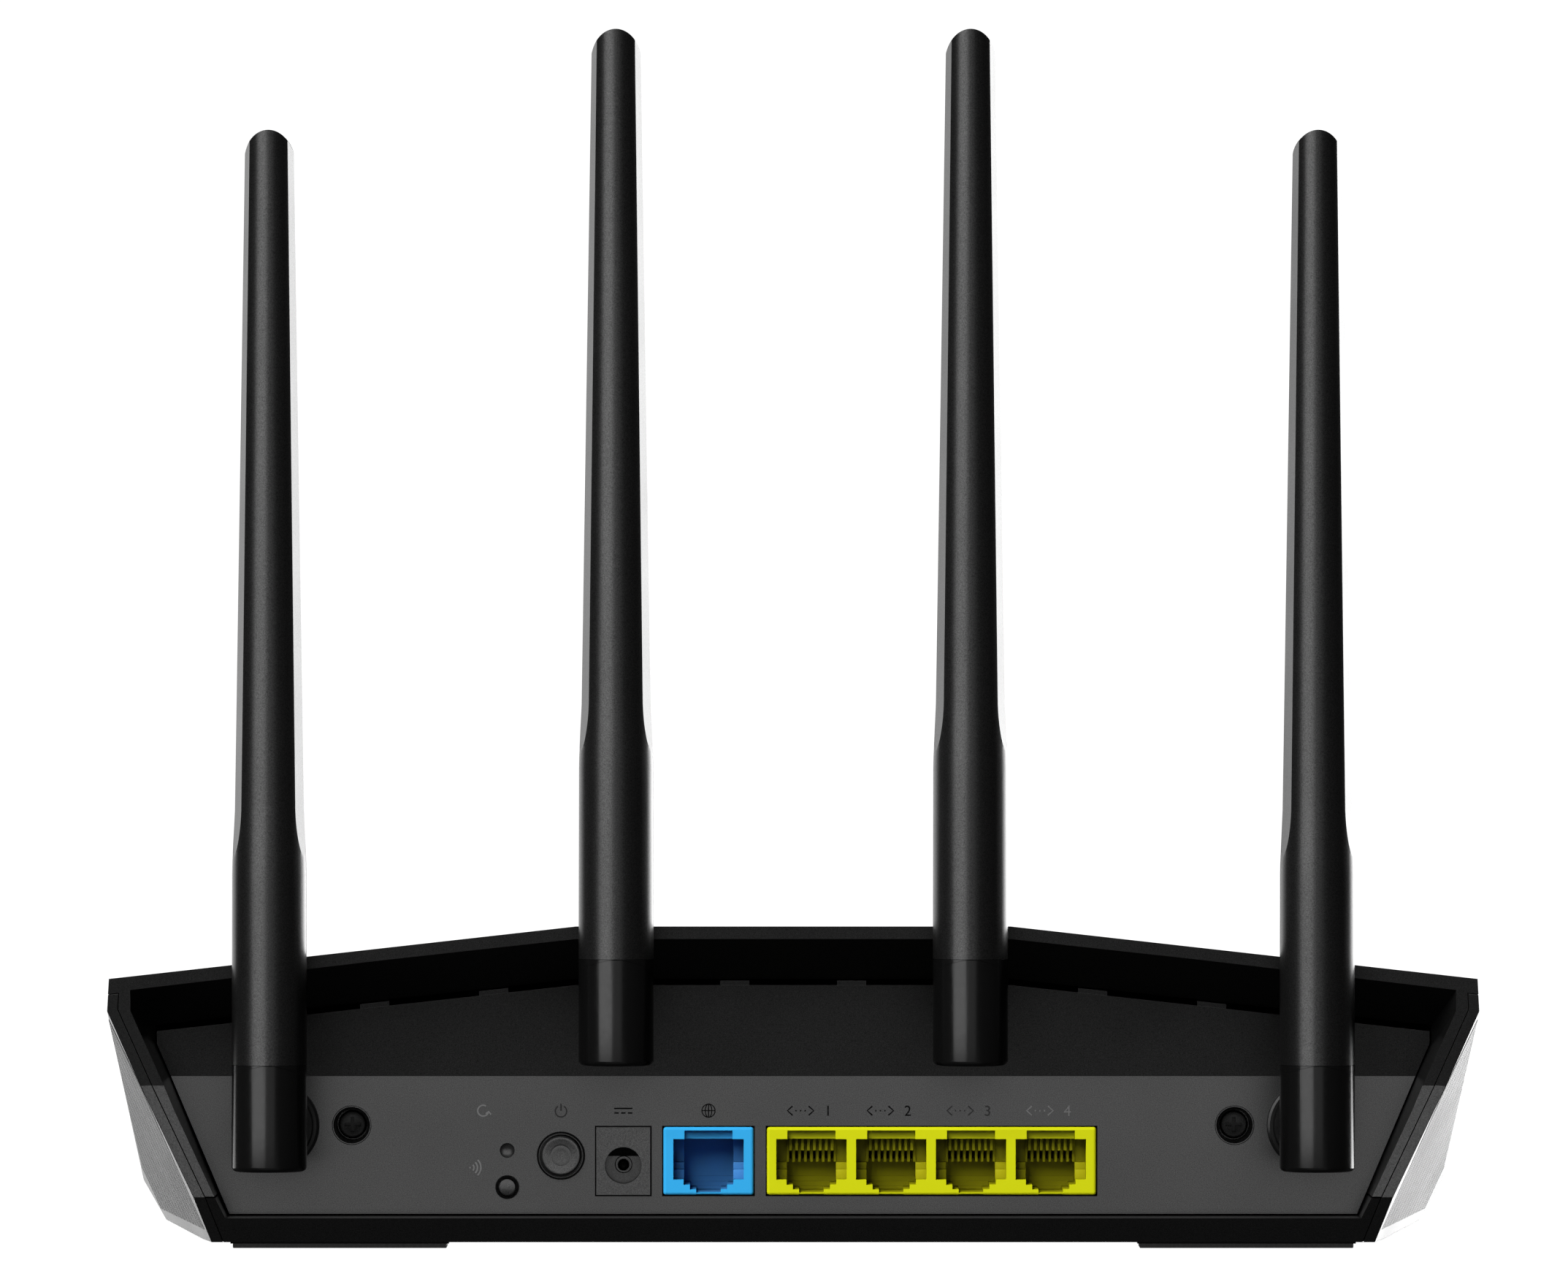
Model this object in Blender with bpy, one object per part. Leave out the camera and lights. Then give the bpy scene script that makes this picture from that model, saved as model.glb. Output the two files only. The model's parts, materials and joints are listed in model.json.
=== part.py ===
"""Wireless router with four swivelling antennas, as the separate pieces it comes apart into.

The drawing is in millimetres: +X to the right as seen from the rear, +Y from the rear to the
front, +Z up, z = 0 on the table and y = 0 at the rear edge of the hood.  at() turns a drawing
point into metres, with the origin under the middle of the whole object.
"""

import math

import bmesh
import bpy
from mathutils import Vector

MM = 0.001
GAP = 0.3
SNUG_GAP = 0.2
SEAM_GAP = 0.1

# Casing
DEPTH = 134.0
HOOD_HEIGHT = 56.9
REAR_LEAN = 0.194
REAR_UPRIGHT_Y = 5.4
REAR_FOOT_Y, REAR_FOOT_Z = 9.5, 1.3
FRONT_HEIGHT = 33.0
BASE_Z = 1.6
PARTING_Z = 9.6
WALL = 2.2
LIP_THICKNESS = 1.0
LIP_HEIGHT = 1.5
LIP_REAR_Y = 112.0
SIDE_PANEL_THICKNESS = 1.8
SIDE_PANEL_BELOW_WING = 2.6
HOOD_DEPTH = 12.1
WINDOW_Y = 112.0
WINDOW_HALF_LENGTH = 24.0
WINDOW_WIDTH = 3.0
VENT_SLOTS_X = [column * 7.0 for column in range(-6, 7)]
VENT_SLOTS_Y = (52.0, 78.0)
KEYHOLE_X, KEYHOLE_Y, KEYHOLE_LENGTH = 82.0, 66.0, 9.0
KEYHOLE_HEAD_RADIUS, KEYHOLE_NECK_HALF = 4.2, 2.1

# Rear panel
PANEL_Y = 15.15
PANEL_CREASE_Z = 30.3
PANEL_BOTTOM_Z = 6.2
PANEL_THICKNESS = 2.0
VENT_HEIGHT = 1.1
VENT_TAB_WIDTH = 5.1
VENT_TABS_X = (10.2, 31.2, 52.3, 73.1, 94.0)
POWER_RING_RADIUS, POWER_RING_PROUD = 4.15, 0.5
WPS_RING_RADIUS, WPS_RING_PROUD = 2.05, 0.3

# Antennas
ANTENNA_REAR_Y = -13.0
ANTENNA_MIDDLE_Y = -7.0
SLEEVE_HALF_WIDTH, SLEEVE_HALF_DEPTH = 6.5, 6.0
KNUCKLE_BELOW = 6.9
KNUCKLE_ABOVE = 11.5
STUB_RADIUS = 4.0
STUB_GROOVE_RADIUS = 3.0
STUB_GROOVE_Y = (19.0, 20.4)
STUB_END_Y = 22.0
FLANGE_THICKNESS = 1.5
HINGE_INSET = 2.8
LUG_RADIUS = 1.9
LUG_HALF_WIDTH = 2.5
PIN_RADIUS = 0.8
PIN_HALF_LENGTH = 4.4
RADIATOR_TOP = 140.0
# Blade sections: height above the joint line, half width, half depth, and how far the two rear
# corners are planed flat, from 0 for a full oval to 1
BLADE_SECTIONS = (
    (0.0, 6.15, 5.65, 0.0),
    (0.35, 6.5, 6.0, 0.0),
    (34.0, 6.42, 5.9, 0.0),
    (36.0, 6.33, 5.8, 0.0),
    (39.0, 6.2, 5.65, 0.75),
    (44.0, 5.99, 5.4, 1.0),
    (57.7, 5.775, 5.15, 1.0),
    (157.0, 4.25, 3.9, 1.0),
    (163.0, 4.15, 3.8, 1.0),
)
FLAT_START, FLAT_END = 319.0, 365.0
TIP_HALF_WIDTH, TIP_HEIGHT, TIP_STEPS = 4.35, 5.4, 20
TIP_ARCH_START = 18.0
# Middle of each knuckle on the panel, and the blade's height above the joint line
ANTENNAS = {
    "outer_left": (-90.5, 21.7, 161.3),
    "inner_left": (-30.6, 40.0, 160.4),
    "inner_right": (30.6, 40.0, 160.4),
    "outer_right": (90.5, 21.7, 161.3),
}

# Sockets and buttons, by the centre of each on the rear panel
SOCKET_FRONT_Y = 14.65
SOCKET_LOW_Z, SOCKET_HIGH_Z = 9.5, 21.4
SOCKET_DEPTH = 15.5
LAN_CENTRES_X = (3.2, 17.15, 31.1, 45.05)
LAN_LEFT_X, LAN_RIGHT_X = -4.6, 53.0
WAN_X, WAN_WIDTH = -14.8, 15.8
DC_X, DC_WIDTH, DC_HOLE_Z, DC_HOLE_RADIUS = -29.7, 9.5, 14.7, 3.2
POWER_X, POWER_Z, POWER_RADIUS = -40.6, 16.4, 3.5
WPS_X, WPS_Z, WPS_RADIUS = -50.0, 10.9, 1.45
RESET_X, RESET_Z, RESET_RADIUS = -50.0, 17.3, 1.3
RESET_FACE_Y = 16.35
POWER_TRAVEL, WPS_TRAVEL, RESET_TRAVEL = 1.5, 0.6, 0.4
SCREW_X, SCREW_Z = 77.2, 21.7
SCREW_SEAT_Y, SCREW_BOSS_BACK_Y = 20.5, 22.0

# Board
BOARD_LOW_Z, BOARD_HIGH_Z = 7.6, 9.2
BOARD_HALF_WIDTH = 66.0
BOARD_REAR_Y, BOARD_FRONT_Y = 19.8, 106.0
BOARD_SCREWS = {
    "rear_left": (-60.0, 36.0),
    "rear_right": (60.0, 36.0),
    "front_left": (-60.0, 98.0),
    "front_right": (60.0, 98.0),
}

# Feet
FOOT_LOW_X, FOOT_HIGH_X = 60.3, 98.6
FOOT_WIDTH = 7.0
FEET_Y = {"rear": 22.0, "front": 112.0}
PLINTH_LOW_Z = 0.8
FOOT_INSET = 0.3
FOOT_TOP_Z = 1.7

Y_ORIGIN = (DEPTH + ANTENNA_REAR_Y) / 2

MATERIALS = {
    "casing_black": ((0.012, 0.012, 0.013), 0.5, 0.0),
    "casing_textured": ((0.03, 0.03, 0.032), 0.45, 0.0),
    "panel_black": ((0.02, 0.02, 0.021), 0.5, 0.0),
    "antenna_matte": ((0.022, 0.022, 0.023), 0.55, 0.0),
    "knuckle_gloss": ((0.01, 0.01, 0.011), 0.22, 0.0),
    "foot_rubber": ((0.1, 0.1, 0.1), 0.85, 0.0),
    "socket_yellow": ((0.58, 0.63, 0.01), 0.4, 0.0),
    "socket_blue": ((0.04, 0.43, 0.84), 0.4, 0.0),
    "jack_black": ((0.015, 0.015, 0.015), 0.4, 0.0),
    "button_black": ((0.018, 0.018, 0.018), 0.4, 0.0),
    "steel": ((0.6, 0.6, 0.6), 0.3, 1.0),
    "brass": ((0.72, 0.52, 0.24), 0.3, 1.0),
    "board_green": ((0.01, 0.12, 0.05), 0.5, 0.0),
    "aluminium": ((0.75, 0.75, 0.76), 0.35, 1.0),
    "component_black": ((0.02, 0.02, 0.02), 0.5, 0.0),
    "cable_grey": ((0.12, 0.12, 0.12), 0.5, 0.0),
    "window_clear": ((0.6, 0.65, 0.7), 0.15, 0.0),
}


def clear_scene():
    for obj in list(bpy.data.objects):
        bpy.data.objects.remove(obj, do_unlink=True)


def new_collection(name):
    collection = bpy.data.collections.new(name)
    bpy.context.scene.collection.children.link(collection)
    return collection


def make_material(name):
    colour, roughness, metallic = MATERIALS[name]
    material = bpy.data.materials.new(name)
    material.use_nodes = True
    shader = material.node_tree.nodes["Principled BSDF"]
    shader.inputs["Base Color"].default_value = (*colour, 1.0)
    shader.inputs["Roughness"].default_value = roughness
    shader.inputs["Metallic"].default_value = metallic
    return material


clear_scene()
PARTS = new_collection("wireless_router")
CUTTERS = new_collection("cutters")
CUTTERS.hide_render = True
FINISHES = {name: make_material(name) for name in MATERIALS}


# Shapes, each returned as a bmesh


def at(x, y, z):
    return Vector((x, y - Y_ORIGIN, z)) * MM


def box(low, high):
    bm = bmesh.new()
    bmesh.ops.create_cube(bm, size=1.0)
    low, high = at(*low), at(*high)
    for vert in bm.verts:
        for i in range(3):
            vert.co[i] = low[i] + (vert.co[i] + 0.5) * (high[i] - low[i])
    return bm


def cylinder(start, end, radius, end_radius=None, segments=32):
    start, end = at(*start), at(*end)
    run = end - start
    bm = bmesh.new()
    bmesh.ops.create_cone(
        bm,
        cap_ends=True,
        segments=segments,
        radius1=radius * MM,
        radius2=(radius if end_radius is None else end_radius) * MM,
        depth=run.length,
    )
    turn = run.to_track_quat("Z", "Y").to_matrix().to_4x4()
    turn.translation = (start + end) / 2
    bmesh.ops.transform(bm, matrix=turn, verts=bm.verts)
    return bm


def hull(points):
    bm = bmesh.new()
    for point in points:
        bm.verts.new(at(*point))
    bmesh.ops.remove_doubles(bm, verts=bm.verts, dist=1e-6)
    bmesh.ops.convex_hull(bm, input=bm.verts)
    loose = [v for v in bm.verts if not v.link_faces]
    bmesh.ops.delete(bm, geom=loose, context="VERTS")
    bmesh.ops.dissolve_limit(
        bm, angle_limit=math.radians(0.05), verts=bm.verts, edges=bm.edges
    )
    return bm


def together(shapes):
    """Shapes that don't touch each other, as one bmesh."""
    bm = bmesh.new()
    for shape in shapes:
        mesh = bpy.data.meshes.new("joined")
        shape.to_mesh(mesh)
        shape.free()
        bm.from_mesh(mesh)
        bpy.data.meshes.remove(mesh)
    return bm


def skin(rings):
    """A closed solid over level rings of points, each with as many points as the next."""
    bm = bmesh.new()
    rows = [[bm.verts.new(at(*point)) for point in ring] for ring in rings]
    for lower, upper in zip(rows, rows[1:]):
        for i in range(len(lower)):
            j = (i + 1) % len(lower)
            bm.faces.new((lower[i], lower[j], upper[j], upper[i]))
    bm.faces.new(rows[0])
    bm.faces.new(rows[-1])
    return bm


def oval_point(x, z, half_width, half_depth, degrees):
    """A point on an antenna's oval section, turning from its right towards the router's front."""
    angle = math.radians(degrees)
    return Vector((x + half_width * math.cos(angle), ANTENNA_MIDDLE_Y + half_depth * math.sin(angle), z))


def oval(x, z, half_width, half_depth, segments=32):
    return [oval_point(x, z, half_width, half_depth, 360 * i / segments) for i in range(segments)]


def blade_section(x, z, half_width, half_depth, planed):
    """An oval whose two rear corners are planed towards flats."""

    def spot(degrees):
        return oval_point(x, z, half_width, half_depth, degrees)

    def corner(first, last):
        start, end = spot(first), spot(last)
        steps = (0.0, 0.25, 0.5, 0.75)
        return [spot(first + (last - first) * t).lerp(start.lerp(end, t), planed) for t in steps]

    front = [spot(FLAT_END - 360 + (540 - 2 * (FLAT_END - 360) - 360) * i / 10) for i in range(10)]
    left = corner(540 - FLAT_END, 540 - FLAT_START)
    rear_start = 540 - FLAT_START
    rear = [spot(rear_start + (FLAT_START - rear_start) * i / 6) for i in range(6)]
    return [*front, *left, *rear, *corner(FLAT_START, FLAT_END)]


# Objects


def new_object(name, bm, collection):
    bmesh.ops.recalc_face_normals(bm, faces=bm.faces)
    mesh = bpy.data.meshes.new(name)
    bm.to_mesh(mesh)
    bm.free()
    obj = bpy.data.objects.new(name, mesh)
    collection.objects.link(obj)
    return obj


def combine(obj, bm, operation):
    helper = new_object(f"{obj.name}_{operation.lower()}", bm, CUTTERS)
    helper.hide_render = True
    helper.display_type = "WIRE"
    modifier = obj.modifiers.new(helper.name, "BOOLEAN")
    modifier.operation = operation
    modifier.object = helper


def piece(name, finish, solids, cuts=(), origin=None):
    """One sub-part: the union of the solids less the cuts, with its origin where it turns or slides."""
    obj = new_object(name, solids[0], PARTS)
    obj.data.materials.append(FINISHES[finish])
    for solid in solids[1:]:
        combine(obj, solid, "UNION")
    for cut in cuts:
        combine(obj, cut, "DIFFERENCE")
    if origin:
        place = at(*origin)
        for vert in obj.data.vertices:
            vert.co -= place
        obj.location = place
    obj.data.shade_smooth()
    obj.data.set_sharp_from_angle(angle=math.radians(30))
    return obj


# Casing: a block bounded by flat facets


def rear_y(z):
    """How far forward the rear face lies at a height: it leans, then stands upright."""
    return min((HOOD_HEIGHT - z) * REAR_LEAN, REAR_UPRIGHT_Y)


# Corners on the right-hand side.  The left-hand side mirrors them.
HOOD_CORNER = (37.7, 0.0, HOOD_HEIGHT)
WING_CORNER = (118.8, rear_y(47.75), 47.75)
SIDE_TOP = (119.2, rear_y(42.0), 42.0)
SIDE_FRONT = (116.5, 62.0, 9.7)
SIDE_REAR_LOW = (102.1, 8.0, 3.7)
STRIP_TOP = (113.4, 56.0, 4.6)
STRIP_REAR_LOW = (101.3, REAR_FOOT_Y, REAR_FOOT_Z)
UNDERSIDE_RISE = (112.4, 54.0, 2.85)
UNDERSIDE_START = (103.8, REAR_FOOT_Y, BASE_Z)
CREASE_FRONT = (31.0, DEPTH, FRONT_HEIGHT)
FRONT_SIDE_START = (115.0, 82.0, 9.7)
FRONT_CORNER_HIGH = (111.0, 131.0, 26.0)
FRONT_CORNER_LOW = (96.0, DEPTH, 4.5)


def mirrored(point):
    return (-point[0], point[1], point[2])


def facet(a, b, c, inside=(0.0, 60.0, 20.0)):
    """A plane through three corners as (point, outward normal), in drawing millimetres."""
    a, b, c = Vector(a), Vector(b), Vector(c)
    normal = (b - a).cross(c - a).normalized()
    if normal.dot(a - Vector(inside)) < 0:
        normal.negate()
    return a, normal


def casing_facets():
    facets = {
        "top": facet(HOOD_CORNER, mirrored(HOOD_CORNER), (0, DEPTH, FRONT_HEIGHT)),
        "rear_lean": facet((0, 0, HOOD_HEIGHT), (9, 0, HOOD_HEIGHT), (0, HOOD_HEIGHT * REAR_LEAN, 0)),
        "rear_upright": facet((0, REAR_UPRIGHT_Y, 9), (9, REAR_UPRIGHT_Y, 9), (0, REAR_UPRIGHT_Y, 20)),
        "rear_low": facet(
            (0, REAR_UPRIGHT_Y, PARTING_Z), (9, REAR_UPRIGHT_Y, PARTING_Z), (0, REAR_FOOT_Y, REAR_FOOT_Z)
        ),
        "bottom": facet((0, 0, BASE_Z), (9, 0, BASE_Z), (0, 9, BASE_Z)),
        "front": facet((0, DEPTH, 6), (9, DEPTH, 6), (0, DEPTH - 3, FRONT_HEIGHT)),
        "front_low": facet((0, DEPTH, 6), (9, DEPTH, 6), (0, DEPTH - 6, BASE_Z)),
    }
    right = {
        "wing": (HOOD_CORNER, WING_CORNER, CREASE_FRONT),
        "side": (WING_CORNER, SIDE_TOP, SIDE_FRONT),
        "rear_side": (SIDE_TOP, SIDE_REAR_LOW, SIDE_FRONT),
        "strip": (SIDE_REAR_LOW, STRIP_TOP, STRIP_REAR_LOW),
        "underside": (STRIP_REAR_LOW, UNDERSIDE_RISE, UNDERSIDE_START),
        "side_low": (SIDE_FRONT, STRIP_TOP, (115.6, 73.0, 9.7)),
        "front_side": (FRONT_SIDE_START, FRONT_CORNER_HIGH, FRONT_CORNER_LOW),
    }
    for name, corners in right.items():
        facets[name + "_right"] = facet(*corners)
        facets[name + "_left"] = facet(*map(mirrored, corners))
    return facets


FACETS = casing_facets()


def casing_block(inset=0.0, insets=None, extra=(), open_rear=False):
    """The space inside the facets, each moved inwards by its inset.  An open rear goes on past the
    rear face, whose two facets meet in a hollow edge: behind_casing() then cuts it to shape."""
    insets = insets or {}
    planes = []
    for name, (point, normal) in FACETS.items():
        kind = name.removesuffix("_left").removesuffix("_right")
        if open_rear and kind in ("rear_lean", "rear_upright"):
            continue
        planes.append((point - normal * insets.get(kind, inset), normal))
    return carved([*planes, *extra])


def carved(planes):
    """The part of a large block that lies inside every plane of (point, outward normal)."""
    bm = box((-200, -50, -50), (200, 250, 150))
    for point, normal in planes:
        bmesh.ops.bisect_plane(
            bm,
            geom=[*bm.verts, *bm.edges, *bm.faces],
            dist=1e-8,
            plane_co=at(*point),
            plane_no=normal,
            clear_outer=True,
        )
        edges = [e for e in bm.edges if e.is_boundary]
        bmesh.ops.holes_fill(bm, edges=edges)
    return bm


def behind_casing():
    """The space behind the rear face: beyond the leaning facet above and the upright one below."""
    crease_z = HOOD_HEIGHT - REAR_UPRIGHT_Y / REAR_LEAN
    high_z = HOOD_HEIGHT + 60
    outline = [
        (-60, -30),
        (REAR_UPRIGHT_Y, -30),
        (REAR_UPRIGHT_Y, crease_z),
        ((HOOD_HEIGHT - high_z) * REAR_LEAN, high_z),
        (-60, high_z),
    ]
    return hull([(x, y, z) for x in (-210, 210) for y, z in outline])


def side_panel_seats():
    """What the top cover and the tray lose to the side panels, with the seam between them."""
    seats = []
    depth = SIDE_PANEL_THICKNESS + SEAM_GAP
    for side in ("left", "right"):
        point, normal = FACETS[f"wing_{side}"]
        under_wing = (point - normal * (SIDE_PANEL_BELOW_WING - SEAM_GAP), normal)
        for kind in ("side", "rear_side"):
            point, normal = FACETS[f"{kind}_{side}"]
            seats.append(carved([(point - normal * depth, -normal), under_wing]))
    return seats


def level(z, keep_above):
    """A level cutting plane, keeping what is above or below it."""
    return Vector((0, 0, z)), Vector((0, 0, -1 if keep_above else 1))


SHELL_INNER = {
    "side": SIDE_PANEL_THICKNESS + SEAM_GAP + WALL,
    "rear_side": SIDE_PANEL_THICKNESS + SEAM_GAP + WALL,
    "rear_lean": HOOD_DEPTH,
    "rear_upright": HOOD_DEPTH,
    "rear_low": 14.0,
}

# Rear recess: from the frame's inner edge at the rear face to the opening, which the rear panel
# fills but for the vent gap along its top
RIM_OUTLINE = ((37.7, 54.7), (115.1, 45.8), (115.1, 42.1), (98.9, 5.9))
OPENING_OUTLINE = ((38.0, 47.4), (111.5, 39.3), (111.5, 36.0), (98.9, 5.9))


def panel_y(z):
    """Where the rear panel's face lies at a height: upright below the crease, leaning above it."""
    return PANEL_Y - max(0.0, z - PANEL_CREASE_Z) * REAR_LEAN


def recess_cuts():
    flare = []
    for (rim_x, rim_z), (x, z) in zip(RIM_OUTLINE, OPENING_OUTLINE):
        inner = Vector((x, panel_y(z), z))
        rim = Vector((rim_x, rear_y(rim_z), rim_z))
        outer = rim + (rim - inner) * 0.8
        flare += [inner, outer]
    deep = [Vector((x, y, z)) for x, z in OPENING_OUTLINE for y in (panel_y(z), 40.0)]
    return [hull([*side, *map(mirrored, side)]) for side in (flare, deep)]


def panel_half_width(z):
    """Half the recess's width at a height, up to where the hood's wings begin."""
    (_, _), (wide, _), (_, shoulder), (narrow, bottom) = OPENING_OUTLINE
    if z >= shoulder:
        return wide
    return narrow + (wide - narrow) * (z - bottom) / (shoulder - bottom)


def make_top_cover():
    outer = casing_block(extra=[level(PARTING_Z + GAP / 2, True)], open_rear=True)
    inner = casing_block(WALL, SHELL_INNER, extra=[level(PARTING_Z - 2, True)])
    slope = (HOOD_HEIGHT - FRONT_HEIGHT) / DEPTH
    slot = led_window_shape(WINDOW_HALF_LENGTH + GAP, WINDOW_WIDTH / 2 + GAP, slope, -4, 3)
    cuts = [behind_casing(), *side_panel_seats(), inner, *recess_cuts(), slot]
    piece("top_cover", "casing_black", [outer], cuts)


def front_lip():
    """A lip along the tray's front, standing behind the joint with the top cover."""

    def slab(inset, insets, low_z, high_z, rear_y_limit):
        rear_limit = (Vector((0, rear_y_limit, 0)), Vector((0, -1, 0)))
        limits = [level(low_z, True), level(high_z, False), rear_limit]
        return casing_block(inset, {**SHELL_INNER, **insets}, extra=limits)

    in_wall = dict.fromkeys(("front", "front_low", "front_side", "side_low"), WALL - 0.5)
    low_z, high_z = PARTING_Z - LIP_HEIGHT, PARTING_Z + LIP_HEIGHT
    root = slab(WALL + GAP, in_wall, low_z, PARTING_Z - GAP, LIP_REAR_Y)
    blade = slab(WALL + GAP, {}, low_z + GAP, high_z, LIP_REAR_Y + 1)
    behind = slab(WALL + GAP + LIP_THICKNESS, {}, low_z - 1, high_z + 1, LIP_REAR_Y - 1)
    return [root, blade], behind


def make_base_tray():
    outer = casing_block(extra=[level(PARTING_Z - GAP / 2, False)], open_rear=True)
    inner = casing_block(WALL, SHELL_INNER, extra=[level(PARTING_Z + 2, False)])
    posts, bores = [], []
    for x, y in BOARD_SCREWS.values():
        posts.append(cylinder((x, y, BASE_Z + 1), (x, y, BOARD_LOW_Z - GAP), 3.2, segments=20))
        bores.append(cylinder((x, y, BASE_Z + 3), (x, y, BOARD_LOW_Z + 1), 1.5, segments=12))
    for x in (-SCREW_X, SCREW_X):
        posts.append(box((x - 5, SCREW_BOSS_BACK_Y + GAP, BASE_Z + 1), (x + 5, 34, SCREW_Z + 6)))
        bores.append(cylinder((x, 15, SCREW_Z), (x, 38, SCREW_Z), 1.8, segments=16))
    plinths, pockets = [], []
    for low_x, y in foot_places():
        plinths.append(foot_box(low_x, y, 0.0, PLINTH_LOW_Z, BASE_Z + 1))
        pockets.append(foot_box(low_x, y, FOOT_INSET, PLINTH_LOW_Z - 2, FOOT_TOP_Z + GAP))
    vents = []
    for x in VENT_SLOTS_X:
        for y in VENT_SLOTS_Y:
            vents.append(box((x - 1, y - 9, -2), (x + 1, y + 9, BASE_Z + WALL + 1)))
    through = (-2, BASE_Z + WALL + 1)
    heads, necks = [], []
    for x in (-KEYHOLE_X, KEYHOLE_X):
        heads.append(
            cylinder((x, KEYHOLE_Y, through[0]), (x, KEYHOLE_Y, through[1]), KEYHOLE_HEAD_RADIUS, segments=24)
        )
        necks.append(
            box(
                (x - KEYHOLE_NECK_HALF, KEYHOLE_Y, through[0]),
                (x + KEYHOLE_NECK_HALF, KEYHOLE_Y + KEYHOLE_LENGTH, through[1]),
            )
        )
    cuts = [behind_casing(), *side_panel_seats(), inner, *recess_cuts()]
    tray = piece("base_tray", "casing_black", [outer, together(plinths)], cuts)
    lip, behind_lip = front_lip()
    for solid in lip:
        combine(tray, solid, "UNION")
    combine(tray, behind_lip, "DIFFERENCE")
    combine(tray, together(posts), "UNION")
    for cut in (together([*bores, *pockets, *vents]), together(heads), together(necks)):
        combine(tray, cut, "DIFFERENCE")


def make_side_panel(side):
    """A cheek that wraps the rear of the side, with the textured facet on its outside."""
    sign = -1 if side == "left" else 1
    one_side = (Vector((sign * 60, 0, 0)), Vector((-sign, 0, 0)))
    outer = casing_block(insets={"wing": SIDE_PANEL_BELOW_WING}, extra=[one_side], open_rear=True)
    planes = []
    for kind in ("side", "rear_side"):
        point, normal = FACETS[f"{kind}_{side}"]
        planes.append((point - normal * SIDE_PANEL_THICKNESS, normal))
    piece(f"side_panel_{side}", "casing_textured", [outer], [carved(planes), behind_casing()])


def led_window_shape(half_length, half_width, slope, low, high):
    """A bar lying in the top's slope, from low to high relative to the surface."""
    points = []
    for x in (-half_length, half_length):
        for y in (WINDOW_Y - half_width, WINDOW_Y + half_width):
            for rise in (low, high):
                points.append((x, y, HOOD_HEIGHT - slope * y + rise))
    return hull(points)


def make_led_window():
    slope = (HOOD_HEIGHT - FRONT_HEIGHT) / DEPTH
    bar = led_window_shape(WINDOW_HALF_LENGTH, WINDOW_WIDTH / 2, slope, -2.4, -0.1)
    piece("led_window", "window_clear", [bar])


def foot_places():
    for y in FEET_Y.values():
        for low_x in (-FOOT_HIGH_X, FOOT_LOW_X):
            yield low_x, y


def foot_box(low_x, y, inset, low_z, high_z):
    high_x = low_x + FOOT_HIGH_X - FOOT_LOW_X
    half = FOOT_WIDTH / 2 - inset
    return box((low_x + inset, y - half, low_z), (high_x - inset, y + half, high_z))


def make_feet():
    names = [f"foot_{end}_{side}" for end in FEET_Y for side in ("left", "right")]
    for name, (low_x, y) in zip(names, foot_places()):
        piece(name, "foot_rubber", [foot_box(low_x, y, FOOT_INSET + SEAM_GAP, 0.0, FOOT_TOP_Z)])


def panel_openings():
    """Holes for the sockets, buttons, screws and antenna stubs, cut straight through."""
    low_y, high_y = 8.0, SCREW_BOSS_BACK_Y + 1
    sockets = (
        (LAN_LEFT_X, LAN_RIGHT_X),
        (WAN_X - WAN_WIDTH / 2, WAN_X + WAN_WIDTH / 2),
        (DC_X - DC_WIDTH / 2, DC_X + DC_WIDTH / 2),
    )
    holes = [
        box(
            (left - SNUG_GAP, low_y, SOCKET_LOW_Z - SNUG_GAP),
            (right + SNUG_GAP, high_y, SOCKET_HIGH_Z + SNUG_GAP),
        )
        for left, right in sockets
    ]
    rounds = [
        (POWER_X, POWER_Z, POWER_RADIUS + GAP, 32),
        (WPS_X, WPS_Z, WPS_RADIUS + GAP, 20),
        (RESET_X, RESET_Z, RESET_RADIUS, 20),
        (-SCREW_X, SCREW_Z, 1.6, 16),
        (SCREW_X, SCREW_Z, 1.6, 16),
    ]
    rounds += [(x, z, STUB_RADIUS + GAP, 32) for x, z, _ in ANTENNAS.values()]
    for x, z, radius, segments in rounds:
        holes.append(cylinder((x, low_y, z), (x, high_y, z), radius, segments=segments))
    return together(holes)


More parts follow.
